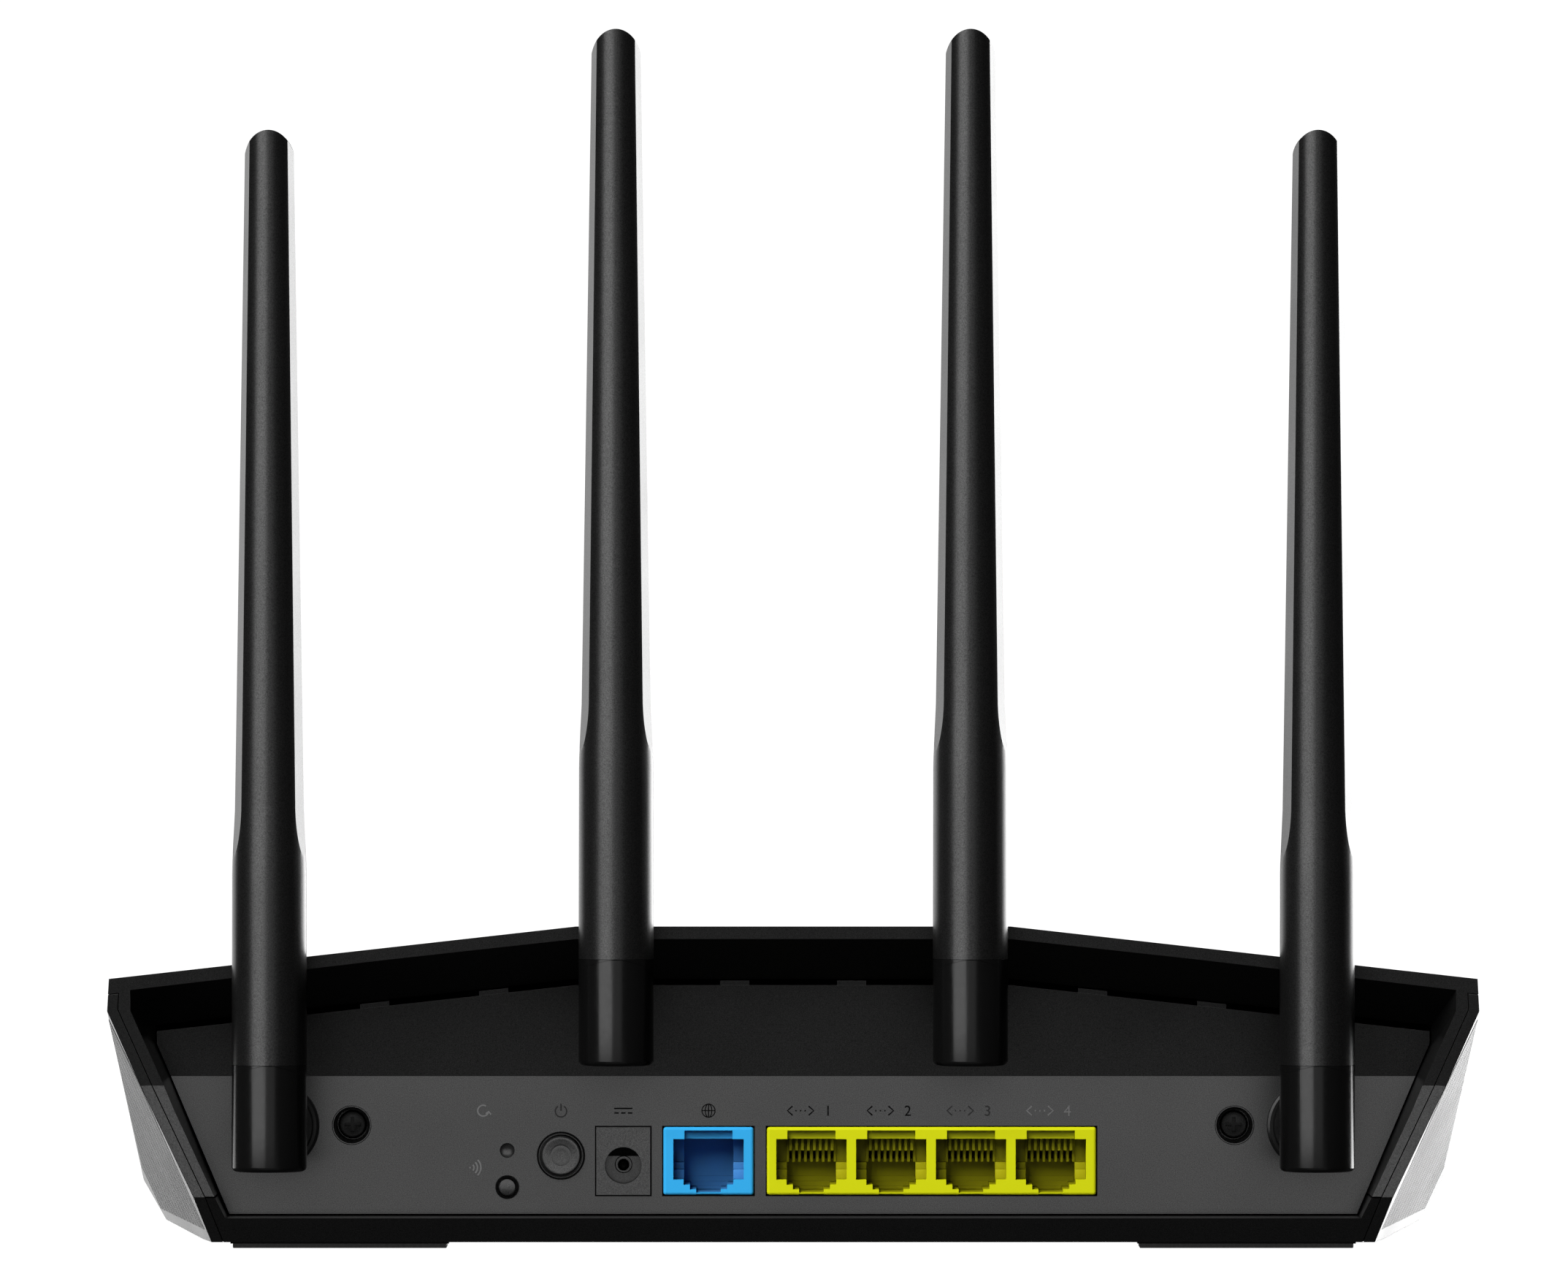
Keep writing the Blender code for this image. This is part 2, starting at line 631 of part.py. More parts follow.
def make_rear_panel():
    (hood_x, hood_z), (wing_x, wing_z), (_, shoulder_z), (narrow_x, _) = OPENING_OUTLINE
    crease = (panel_half_width(PANEL_CREASE_Z) - GAP, PANEL_CREASE_Z)
    upright = [(narrow_x - GAP, PANEL_BOTTOM_Z), crease]
    leaning = [
        crease,
        (wing_x - GAP, shoulder_z),
        (wing_x - GAP, wing_z - VENT_HEIGHT),
        (hood_x, hood_z - VENT_HEIGHT),
    ]

    def slab(outline):
        points = []
        for x, z in outline:
            for y in (panel_y(z), panel_y(z) + PANEL_THICKNESS):
                points += [(x, y, z), (-x, y, z)]
        return hull(points)

    tabs = []
    for centre in VENT_TABS_X:
        for x in (-centre, centre):
            tabs.append(vent_tab(x, (hood_x, hood_z), (wing_x - GAP, wing_z)))
    rings = [
        cylinder(
            (POWER_X, PANEL_Y - POWER_RING_PROUD, POWER_Z),
            (POWER_X, PANEL_Y + 1, POWER_Z),
            POWER_RING_RADIUS,
        ),
        cylinder(
            (WPS_X, PANEL_Y - WPS_RING_PROUD, WPS_Z),
            (WPS_X, PANEL_Y + 1, WPS_Z),
            WPS_RING_RADIUS,
            segments=24,
        ),
    ]
    bosses, recesses, rims = [], [], []
    for x in (-SCREW_X, SCREW_X):
        face = (x, PANEL_Y - 1, SCREW_Z)
        bosses.append(cylinder((x, PANEL_Y + 1, SCREW_Z), (x, SCREW_BOSS_BACK_Y, SCREW_Z), 4.2))
        recesses.append(cylinder(face, (x, SCREW_SEAT_Y, SCREW_Z), 2.85))
        rims.append(cylinder(face, (x, PANEL_Y + 0.6, SCREW_Z), 3.45))
    piece(
        "rear_panel",
        "panel_black",
        [slab(upright), slab(leaning), together(tabs), together(rings), together(bosses)],
        [together(rims), together(recesses), panel_openings()],
    )


def vent_tab(x, hood_end, wing_end):
    """A tab that bridges the vent gap between the panel's top edge and the hood."""
    (hood_x, hood_z), (wing_x, wing_z) = hood_end, wing_end
    points = []
    for edge in (x - VENT_TAB_WIDTH / 2, x + VENT_TAB_WIDTH / 2):
        along = max(0.0, (abs(edge) - hood_x) / (wing_x - hood_x))
        z_top = hood_z + (wing_z - hood_z) * along - GAP
        for z in (z_top - VENT_HEIGHT - 1.0, z_top):
            y = panel_y(z)
            points += [(edge, y + 0.2, z), (edge, y + PANEL_THICKNESS - 0.2, z)]
    return hull(points)


# Sockets


def rj45_opening(x, contacts):
    """The stepped hole of one network socket: plug space, contact notch above, latch steps below."""
    steps = [
        (12.3, 12.2, 19.3),
        (8.7, 11.3, 13.0),
        (6.5, 10.5, 12.0),
        (4.3, 10.1, 11.0),
    ]
    if contacts:
        steps.append((8.4, 18.5, 20.8))
    deep = SOCKET_FRONT_Y + SOCKET_DEPTH - 2.5
    cuts = []
    for i, (width, low_z, high_z) in enumerate(steps):
        back = deep - 0.2 * i
        cuts.append(box((x - width / 2, SOCKET_FRONT_Y - 2, low_z), (x + width / 2, back, high_z)))
    return cuts


def make_network_sockets():
    back = SOCKET_FRONT_Y + SOCKET_DEPTH
    block = box((LAN_LEFT_X, SOCKET_FRONT_Y, SOCKET_LOW_Z), (LAN_RIGHT_X, back, SOCKET_HIGH_Z))
    openings = [rj45_opening(x, True) for x in LAN_CENTRES_X]
    piece("lan_socket_block", "socket_yellow", [block], [together(row) for row in zip(*openings)])
    low_x, high_x = WAN_X - WAN_WIDTH / 2, WAN_X + WAN_WIDTH / 2
    block = box((low_x, SOCKET_FRONT_Y, SOCKET_LOW_Z), (high_x, back, SOCKET_HIGH_Z))
    piece("wan_socket", "socket_blue", [block], rj45_opening(WAN_X, True))


def make_dc_jack():
    low_x, high_x = DC_X - DC_WIDTH / 2, DC_X + DC_WIDTH / 2
    block = box((low_x, SOCKET_FRONT_Y, SOCKET_LOW_Z), (high_x, 28, SOCKET_HIGH_Z))
    hole = cylinder((DC_X, 10, DC_HOLE_Z), (DC_X, 24, DC_HOLE_Z), DC_HOLE_RADIUS)
    pin_seat = cylinder((DC_X, 23, DC_HOLE_Z), (DC_X, 30, DC_HOLE_Z), 1.35, segments=20)
    piece("dc_jack", "jack_black", [block], [hole, pin_seat])
    pin = cylinder((DC_X, 15.6, DC_HOLE_Z), (DC_X, 27.6, DC_HOLE_Z), 1.0, segments=20)
    piece("dc_jack_pin", "steel", [pin])


# Buttons


def make_buttons():
    """Caps in their holes; each stem stops short of its switch by the travel and a gap."""
    x, z = POWER_X, POWER_Z
    face = PANEL_Y - 1.1
    cap = cylinder((x, face, z), (x, 19.0, z), POWER_RADIUS)
    flange = cylinder((x, 18.8, z), (x, 19.8, z), 4.3)
    stem = cylinder((x, 19.0, z), (x, 24.0, z), 1.6, segments=20)
    dish = cylinder((x, face - 0.6, z), (x, face + 0.5, z), 3.0, 2.15)
    piece("power_button", "button_black", [cap, flange, stem], [dish], origin=(x, face, z))
    body = box((x - 4, 24.0 + POWER_TRAVEL + GAP, BOARD_HIGH_Z + GAP), (x + 4, 34, 20.5))
    piece("power_switch", "component_black", [body])

    x, z = WPS_X, WPS_Z
    face = PANEL_Y - 0.6
    cap = cylinder((x, face, z), (x, 18.0, z), WPS_RADIUS, segments=20)
    flange = cylinder((x, 17.5, z), (x, 18.7, z), 2.3, segments=20)
    stem = cylinder((x, 18.5, z), (x, 20.2, z), 0.8, segments=16)
    piece("wps_button", "button_black", [cap, flange, stem], origin=(x, face, z))
    body = box((x - 3, 20.2 + WPS_TRAVEL + GAP, BOARD_HIGH_Z + GAP), (x + 3, 25.5, 13.6))
    piece("wps_switch", "component_black", [body])

    x, z = RESET_X, RESET_Z
    plunger = cylinder((x, RESET_FACE_Y, z), (x, 26.0, z), RESET_RADIUS - GAP, segments=20)
    piece("reset_button", "button_black", [plunger], origin=(x, RESET_FACE_Y, z))
    body = box((x - 3, 26.0 + RESET_TRAVEL + GAP, BOARD_HIGH_Z + GAP), (x + 3, 31.0, 20.2))
    piece("reset_switch", "component_black", [body])


def make_case_screws():
    for side, x in (("left", -SCREW_X), ("right", SCREW_X)):
        seat = SCREW_SEAT_Y - GAP
        head = cylinder((x, seat - 1.8, SCREW_Z), (x, seat, SCREW_Z), 2.5, segments=24)
        shank = cylinder((x, seat - 0.2, SCREW_Z), (x, seat + 11, SCREW_Z), 1.3, segments=16)
        arms = [
            box((x - 1.5, seat - 3, SCREW_Z - 0.3), (x + 1.5, seat - 0.9, SCREW_Z + 0.3)),
            box((x - 0.3, seat - 3, SCREW_Z - 1.5), (x + 0.3, seat - 0.9, SCREW_Z + 1.5)),
        ]
        piece(f"case_screw_{side}", "steel", [head, shank], arms)


# Antennas


def make_antenna(name, x, z, blade_height):
    joint_z = z + KNUCKLE_ABOVE
    pin_y = ANTENNA_REAR_Y + HINGE_INSET
    pin_z = joint_z + HINGE_INSET
    swivel = (x, PANEL_Y, z)
    fold = (x, pin_y, pin_z)
    make_knuckle(name, x, z, swivel, pin_y, pin_z)
    make_clip(name, x, z, swivel)
    make_blade(name, x, joint_z, fold, blade_height)
    pin = cylinder(
        (x - PIN_HALF_LENGTH, pin_y, pin_z), (x + PIN_HALF_LENGTH, pin_y, pin_z), PIN_RADIUS, segments=16
    )
    piece(f"antenna_{name}_pin", "steel", [pin], origin=fold)
    strip = box(
        (x - 1.7, ANTENNA_MIDDLE_Y - 0.8, pin_z + 4),
        (x + 1.7, ANTENNA_MIDDLE_Y + 0.8, joint_z + RADIATOR_TOP),
    )
    piece(f"antenna_{name}_radiator", "brass", [strip], origin=fold)


def make_knuckle(name, x, z, swivel, pin_y, pin_z):
    """Oval barrel, flange and stub through the rear panel, and a goose-neck lug up into the blade."""
    bottom, top = z - KNUCKLE_BELOW, z + KNUCKLE_ABOVE - GAP
    rings = []
    for height, inset in ((bottom, 0.9), (bottom + 0.27, 0.27), (bottom + 0.9, 0.0), (top, 0.0)):
        rings.append(oval(x, height, SLEEVE_HALF_WIDTH - inset, SLEEVE_HALF_DEPTH - inset))
    groove_start, groove_end = STUB_GROOVE_Y
    upright = z < PANEL_CREASE_Z
    flange_y = panel_y(z) - (GAP if upright else 1.7)
    lug_front_y = -2.7
    relief = cylinder((x - 9, pin_y, pin_z), (x + 9, pin_y, pin_z), 4.05, segments=48)
    knuckle = piece(f"antenna_{name}_knuckle", "knuckle_gloss", [skin(rings)], [relief], origin=swivel)
    solids = (
        cylinder((x, ANTENNA_MIDDLE_Y, z), (x, groove_start, z), STUB_RADIUS),
        cylinder((x, groove_start - 0.5, z), (x, groove_end + 0.6, z), STUB_GROOVE_RADIUS),
        cylinder((x, groove_end, z), (x, STUB_END_Y, z), STUB_RADIUS),
        cylinder((x, flange_y - FLANGE_THICKNESS, z), (x, flange_y, z), 7.7 if upright else 6.2),
        box((x - LUG_HALF_WIDTH, -5.4, top - 1), (x + LUG_HALF_WIDTH, lug_front_y, pin_z + LUG_RADIUS)),
        box(
            (x - LUG_HALF_WIDTH, pin_y, pin_z - LUG_RADIUS),
            (x + LUG_HALF_WIDTH, lug_front_y - GAP, pin_z + LUG_RADIUS),
        ),
        cylinder(
            (x - LUG_HALF_WIDTH, pin_y, pin_z),
            (x + LUG_HALF_WIDTH, pin_y, pin_z),
            LUG_RADIUS,
            segments=24,
        ),
    )
    for solid in solids:
        combine(knuckle, solid, "UNION")
    pin_bore = cylinder((x - 4, pin_y, pin_z), (x + 4, pin_y, pin_z), PIN_RADIUS + GAP, segments=16)
    lead_bore = cylinder((x, 2.0, z), (x, 24.0, z), 1.2, segments=12)
    for cut in (pin_bore, lead_bore):
        combine(knuckle, cut, "DIFFERENCE")


def make_clip(name, x, z, swivel):
    """Retaining clip in the stub's groove, behind the panel."""
    start = STUB_GROOVE_Y[0] + GAP
    ring = cylinder((x, start, z), (x, start + 0.8, z), 6.0)
    inner = cylinder((x, 18.0, z), (x, 22.0, z), STUB_GROOVE_RADIUS + 0.4)
    mouth = box((x - 2.4, 18, z - 8), (x + 2.4, 22, z))
    piece(f"antenna_{name}_clip", "steel", [ring], [inner, mouth], origin=swivel)


def above_tip(x, top_z):
    """The space over a blade's tip: everything above an arch that runs from rear to front."""
    reach = TIP_HALF_WIDTH + 3
    foot_z = top_z - TIP_HEIGHT
    arch = []
    for i in range(TIP_STEPS + 1):
        angle = math.radians(180 - TIP_ARCH_START - (180 - 2 * TIP_ARCH_START) * i / TIP_STEPS)
        arch.append((x + TIP_HALF_WIDTH * math.cos(angle), foot_z + TIP_HEIGHT * math.sin(angle)))
    ledge_z = arch[0][1]
    outline = [(x + reach, ledge_z), (x + reach, top_z + 9), (x - reach, top_z + 9), (x - reach, ledge_z)]
    outline += arch
    low_y, high_y = ANTENNA_MIDDLE_Y - 9, ANTENNA_MIDDLE_Y + 9
    return skin([[(spot_x, y, spot_z) for spot_x, spot_z in outline] for y in (low_y, high_y)])


def make_blade(name, x, joint_z, fold, blade_height):
    """Sleeve and tapering blade in one moulding, slotted for the lug and hollow for the radiator."""
    _, pin_y, pin_z = fold
    rings = []
    for height, half_width, half_depth, planed in BLADE_SECTIONS:
        rings.append(blade_section(x, joint_z + height, half_width, half_depth, planed))
    slot_half, slot_radius = 2.8, 2.2
    slot = box((x - slot_half, pin_y, joint_z - 4), (x + slot_half, -1.8, pin_z + slot_radius))
    slot_end = cylinder(
        (x - slot_half, pin_y, pin_z), (x + slot_half, pin_y, pin_z), slot_radius, segments=24
    )
    under = box((x - slot_half, pin_y - slot_radius, joint_z - 4), (x + slot_half, pin_y + 0.5, pin_z))
    core = box(
        (x - 2.0, ANTENNA_MIDDLE_Y - 1.1, pin_z + 1),
        (x + 2.0, ANTENNA_MIDDLE_Y + 1.1, joint_z + RADIATOR_TOP + GAP),
    )
    hole_half = PIN_HALF_LENGTH + SNUG_GAP
    pin_holes = cylinder(
        (x - hole_half, pin_y, pin_z), (x + hole_half, pin_y, pin_z), PIN_RADIUS + SNUG_GAP, segments=16
    )
    cuts = [above_tip(x, joint_z + blade_height), slot, slot_end, under, core, pin_holes]
    piece(f"antenna_{name}_blade", "antenna_matte", [skin(rings)], cuts, origin=fold)


# Board and what it carries


def make_board():
    board = box(
        (-BOARD_HALF_WIDTH, BOARD_REAR_Y, BOARD_LOW_Z),
        (BOARD_HALF_WIDTH, BOARD_FRONT_Y, BOARD_HIGH_Z),
    )
    holes = []
    for x, y in BOARD_SCREWS.values():
        holes.append(cylinder((x, y, 5), (x, y, 12), 1.5, segments=16))
    piece("main_board", "board_green", [board], [together(holes)])
    for name, (x, y) in BOARD_SCREWS.items():
        head = cylinder((x, y, BOARD_HIGH_Z + GAP), (x, y, BOARD_HIGH_Z + 1.8), 2.6, segments=20)
        shank = cylinder((x, y, 5.0), (x, y, BOARD_HIGH_Z + 1), 1.15, segments=12)
        piece(f"board_screw_{name}", "steel", [head, shank])

    z = BOARD_HIGH_Z + GAP
    blocks = {
        "lan_transformer": ("component_black", (4.0, 34.0, z), (44.0, 42.0, z + 6)),
        "wan_transformer": ("component_black", (-23.0, 34.0, z), (-7.0, 42.0, z + 6)),
        "radio_shield": ("aluminium", (22.0, 50.0, z), (52.0, 78.0, z + 3)),
        "processor_shield": ("aluminium", (-20.0, 50.0, z), (12.0, 80.0, z + 3)),
    }
    for name, (finish, low, high) in blocks.items():
        piece(name, finish, [box(low, high)])
    for name, x in (("capacitor_main", -34.0), ("capacitor_filter", -46.0)):
        piece(name, "component_black", [cylinder((x, 46, z), (x, 46, z + 10), 4.0, segments=24)])

    low = z + 3 + GAP
    plate = box((-16.0, 54.0, low), (8.0, 76.0, low + 2))
    fins = [box((x, 54.0, low + 1), (x + 1.2, 76.0, low + 8)) for x in range(-16, 8, 4)]
    piece("heat_sink", "aluminium", [plate, together(fins)])


def make_leads():
    """Coaxial leads from the antenna stubs to the board."""
    for name, (x, z, _) in ANTENNAS.items():
        side = math.copysign(1, x)
        inner = "inner" in name
        end_x = side * (44.0 if inner else 56.0)
        end_y = 84.0 if inner else 70.0
        route = [
            (x, 22.6, z),
            (x, 27.0, z),
            (x, 31.0, z - 1.5),
            (x * 0.98, 37.0, z - (8 if inner else 3)),
            ((x + end_x) / 2, (40 + end_y) / 2, 16.0),
            (end_x + side, end_y - 6, 14.0),
            (end_x, end_y - 1.5, 12.6),
            (end_x, end_y, 11.4),
            (end_x, end_y, BOARD_HIGH_Z + GAP),
        ]
        curve = bpy.data.curves.new(f"antenna_{name}_lead", "CURVE")
        curve.dimensions = "3D"
        curve.bevel_depth = 0.65 * MM
        curve.bevel_resolution = 1
        curve.use_fill_caps = True
        points = smooth_route([at(*point) for point in route], 3)
        spline = curve.splines.new("POLY")
        spline.points.add(len(points) - 1)
        for spot, point in zip(spline.points, points):
            spot.co = (*point, 1.0)
        obj = bpy.data.objects.new(curve.name, curve)
        obj.data.materials.append(FINISHES["cable_grey"])
        PARTS.objects.link(obj)


def smooth_route(points, steps):
    """Points on the Catmull-Rom curve through a route's own points."""
    ends = [2 * points[0] - points[1], *points, 2 * points[-1] - points[-2]]
    found = [points[0]]
    for a, b, c, d in zip(ends, ends[1:], ends[2:], ends[3:]):
        for step in range(1, steps + 1):
            t = step / steps
            square = (2 * a - 5 * b + 4 * c - d) * t**2
            cube = (3 * b - a - 3 * c + d) * t**3
            found.append((2 * b + (c - a) * t + square + cube) / 2)
    return found


make_top_cover()
make_base_tray()
make_side_panel("left")
make_side_panel("right")
make_rear_panel()
make_led_window()
make_feet()
make_network_sockets()
make_dc_jack()
make_buttons()
make_case_screws()
for antenna_name, place in ANTENNAS.items():
    make_antenna(antenna_name, *place)
make_board()
make_leads()
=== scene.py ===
"""Looks of the wireless router: fine surfaces, materials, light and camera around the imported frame.

The frame is in metres.  Shapes made here are worked out in millimetres from the frame's boxes:
+X to the right as seen from the rear, +Y towards the router's front, +Z up.
"""

import json
import math

import bmesh
import bpy
from mathutils import Matrix, Vector

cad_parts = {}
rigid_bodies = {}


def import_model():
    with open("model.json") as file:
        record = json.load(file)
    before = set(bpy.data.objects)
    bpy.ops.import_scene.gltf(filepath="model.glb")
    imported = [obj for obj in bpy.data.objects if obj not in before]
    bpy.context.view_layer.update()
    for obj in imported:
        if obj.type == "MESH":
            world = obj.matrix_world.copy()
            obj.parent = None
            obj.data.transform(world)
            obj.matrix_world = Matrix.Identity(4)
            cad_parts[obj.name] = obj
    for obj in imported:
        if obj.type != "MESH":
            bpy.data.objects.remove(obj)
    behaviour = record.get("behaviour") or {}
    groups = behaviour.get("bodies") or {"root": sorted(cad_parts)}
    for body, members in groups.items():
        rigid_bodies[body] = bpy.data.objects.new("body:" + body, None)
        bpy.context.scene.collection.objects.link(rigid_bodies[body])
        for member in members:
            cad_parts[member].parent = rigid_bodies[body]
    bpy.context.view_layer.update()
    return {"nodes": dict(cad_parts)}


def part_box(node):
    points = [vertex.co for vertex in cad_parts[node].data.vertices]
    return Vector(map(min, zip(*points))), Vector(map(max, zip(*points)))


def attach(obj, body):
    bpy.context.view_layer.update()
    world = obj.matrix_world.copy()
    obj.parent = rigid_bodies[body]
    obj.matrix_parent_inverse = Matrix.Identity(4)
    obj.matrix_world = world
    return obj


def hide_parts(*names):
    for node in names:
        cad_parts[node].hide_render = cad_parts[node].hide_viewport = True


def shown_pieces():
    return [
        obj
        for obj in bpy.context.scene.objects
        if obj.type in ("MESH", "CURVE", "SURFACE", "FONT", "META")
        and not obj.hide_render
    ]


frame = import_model()

MM = 0.001
CREASE_ANGLE = 9
ANTENNAS = ("outer_left", "inner_left", "inner_right", "outer_right")
SIDES = {"left": -1, "right": 1}


# Places, read from the frame


def low(node):
    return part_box(node)[0] / MM


def high(node):
    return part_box(node)[1] / MM


def middle(node):
    return (low(node) + high(node)) / 2


PANEL_BEHIND_SOCKETS = 0.5
SOCKET_Y = low("lan_socket_block").y
PANEL_Y = SOCKET_Y + PANEL_BEHIND_SOCKETS
LAN_PITCH = 13.95
LAN_END_TO_CENTRE = 7.8
LAN_FIRST_X = low("lan_socket_block").x + LAN_END_TO_CENTRE
LAN_CENTRES_X = [LAN_FIRST_X + LAN_PITCH * i for i in range(4)]
WAN_X = middle("wan_socket").x


# Mesh helpers


def box(low_corner, high_corner, radius=0.0, segments=2):
    """A block between two corners, with its edges rounded if a radius is given."""
    bm = bmesh.new()
    bmesh.ops.create_cube(bm, size=1.0)
    for vert in bm.verts:
        for i in range(3):
            share = vert.co[i] + 0.5
            vert.co[i] = low_corner[i] + share * (high_corner[i] - low_corner[i])
    if radius:
        bmesh.ops.bevel(
            bm,
            geom=bm.edges[:],
            offset=radius,
            segments=segments,
            affect="EDGES",
            profile=0.5,
            clamp_overlap=True,
        )
    return bm


def loft(rings, close_ends=True):
    """A skin over rings of points, each with as many points as the next.  A ring of one point is a tip."""
    bm = bmesh.new()
    rows = [[bm.verts.new(point) for point in ring] for ring in rings]
    for lower, upper in zip(rows, rows[1:]):
        count = max(len(lower), len(upper))
        for i in range(count):
            j = (i + 1) % count
            corners = [lower[i % len(lower)], lower[j % len(lower)]]
            corners += [upper[j % len(upper)], upper[i % len(upper)]]
            unique = list(dict.fromkeys(corners))
            bm.faces.new(unique)
    if close_ends:
        for row in (rows[0], rows[-1]):
            if len(row) > 2:
                bm.faces.new(row)
    bmesh.ops.recalc_face_normals(bm, faces=bm.faces)
    return bm


def turned(start, direction, profile, segments=64):
    """A turned shape: profile is (distance along the axis, radius), in order.  If the profile comes
    back to its first point, the shape is a ring with a hole."""
    is_ring = profile[0] == profile[-1]
    direction = Vector(direction).normalized()
    side = direction.orthogonal().normalized()
    other = direction.cross(side)
    rings = []
    for along, radius in profile:
        centre = Vector(start) + direction * along
        if radius < 1e-6:
            rings.append([centre])
            continue
        ring = []
        for i in range(segments):
            angle = math.tau * i / segments
            ring.append(centre + (side * math.cos(angle) + other * math.sin(angle)) * radius)
        rings.append(ring)
    bm = loft(rings, close_ends=not is_ring)
    if is_ring:
        bmesh.ops.remove_doubles(bm, verts=bm.verts, dist=1e-5)
        bmesh.ops.recalc_face_normals(bm, faces=bm.faces)
    return bm


def rod(start, end, radius, segments=48):
    run = Vector(end) - Vector(start)
    return turned(start, run, [(0, radius), (run.length, radius)], segments)


def arc(centre, radius, start, end, steps):
    """Points on an arc in degrees, as (first, second) coordinates."""
    points = []
    for i in range(steps + 1):
        angle = math.radians(start + (end - start) * i / steps)
        points.append((centre[0] + radius * math.cos(angle), centre[1] + radius * math.sin(angle)))
    return points


def joined(shapes):
    bm = bmesh.new()
    for shape in shapes:
        mesh = bpy.data.meshes.new("part")
        shape.to_mesh(mesh)
        shape.free()
        bm.from_mesh(mesh)
        bpy.data.meshes.remove(mesh)
    return bm


def loose_object(name, bm):
    mesh = bpy.data.meshes.new(name)
    bm.to_mesh(mesh)
    bm.free()
    obj = bpy.data.objects.new(name, mesh)
    bpy.context.scene.collection.objects.link(obj)
    return obj


def evaluated_mesh(obj):
    graph = bpy.context.evaluated_depsgraph_get()
    return bpy.data.meshes.new_from_object(obj.evaluated_get(graph))


def solid(base, adds=(), within=(), cuts=()):
    """The base joined with the adds, kept within some shapes, less the cuts, as a bmesh."""
    obj = loose_object("base", base)
    helpers = []
    for operation, shapes in (("UNION", adds), ("INTERSECT", within), ("DIFFERENCE", cuts)):
        for shape in shapes:
            helper = loose_object("helper", shape)
            helpers.append(helper)
            modifier = obj.modifiers.new("combine", "BOOLEAN")
            modifier.operation = operation
            modifier.object = helper
    mesh = evaluated_mesh(obj)
    bm = bmesh.new()
    bm.from_mesh(mesh)
    bpy.data.meshes.remove(mesh)
    for spare in (obj, *helpers):
        bpy.data.objects.remove(spare)
    return bm


def piece(name, bm, material, body, replaces=(), sharp=30, bevel=0.0):
    """One visible piece, given in millimetres."""
    bmesh.ops.scale(bm, vec=(MM, MM, MM), verts=bm.verts)
    obj = loose_object(name, bm)
    obj.data.materials.append(material)
    obj.data.shade_smooth()
    obj.data.set_sharp_from_angle(angle=math.radians(sharp))
    if bevel:
        soften(obj, bevel)
    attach(obj, body)
    if replaces:
        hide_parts(*replaces)
    return obj


def soften(obj, width):
    """Clean up an object's triangles, round its edges by a small radius and shade its faces evenly."""
    weld = obj.modifiers.new("weld", "WELD")
    weld.merge_threshold = 1e-6
    flats = obj.modifiers.new("flats", "DECIMATE")
    flats.decimate_type = "DISSOLVE"
    flats.angle_limit = math.radians(0.4)
    bevel = obj.modifiers.new("edge", "BEVEL")
    bevel.width = width * MM
    bevel.segments = 3
    bevel.limit_method = "ANGLE"
    bevel.angle_limit = math.radians(CREASE_ANGLE)
    bevel.use_clamp_overlap = True
    normals = obj.modifiers.new("normals", "WEIGHTED_NORMAL")
    normals.mode = "FACE_AREA"
    normals.weight = 100
    normals.keep_sharp = True


# Materials


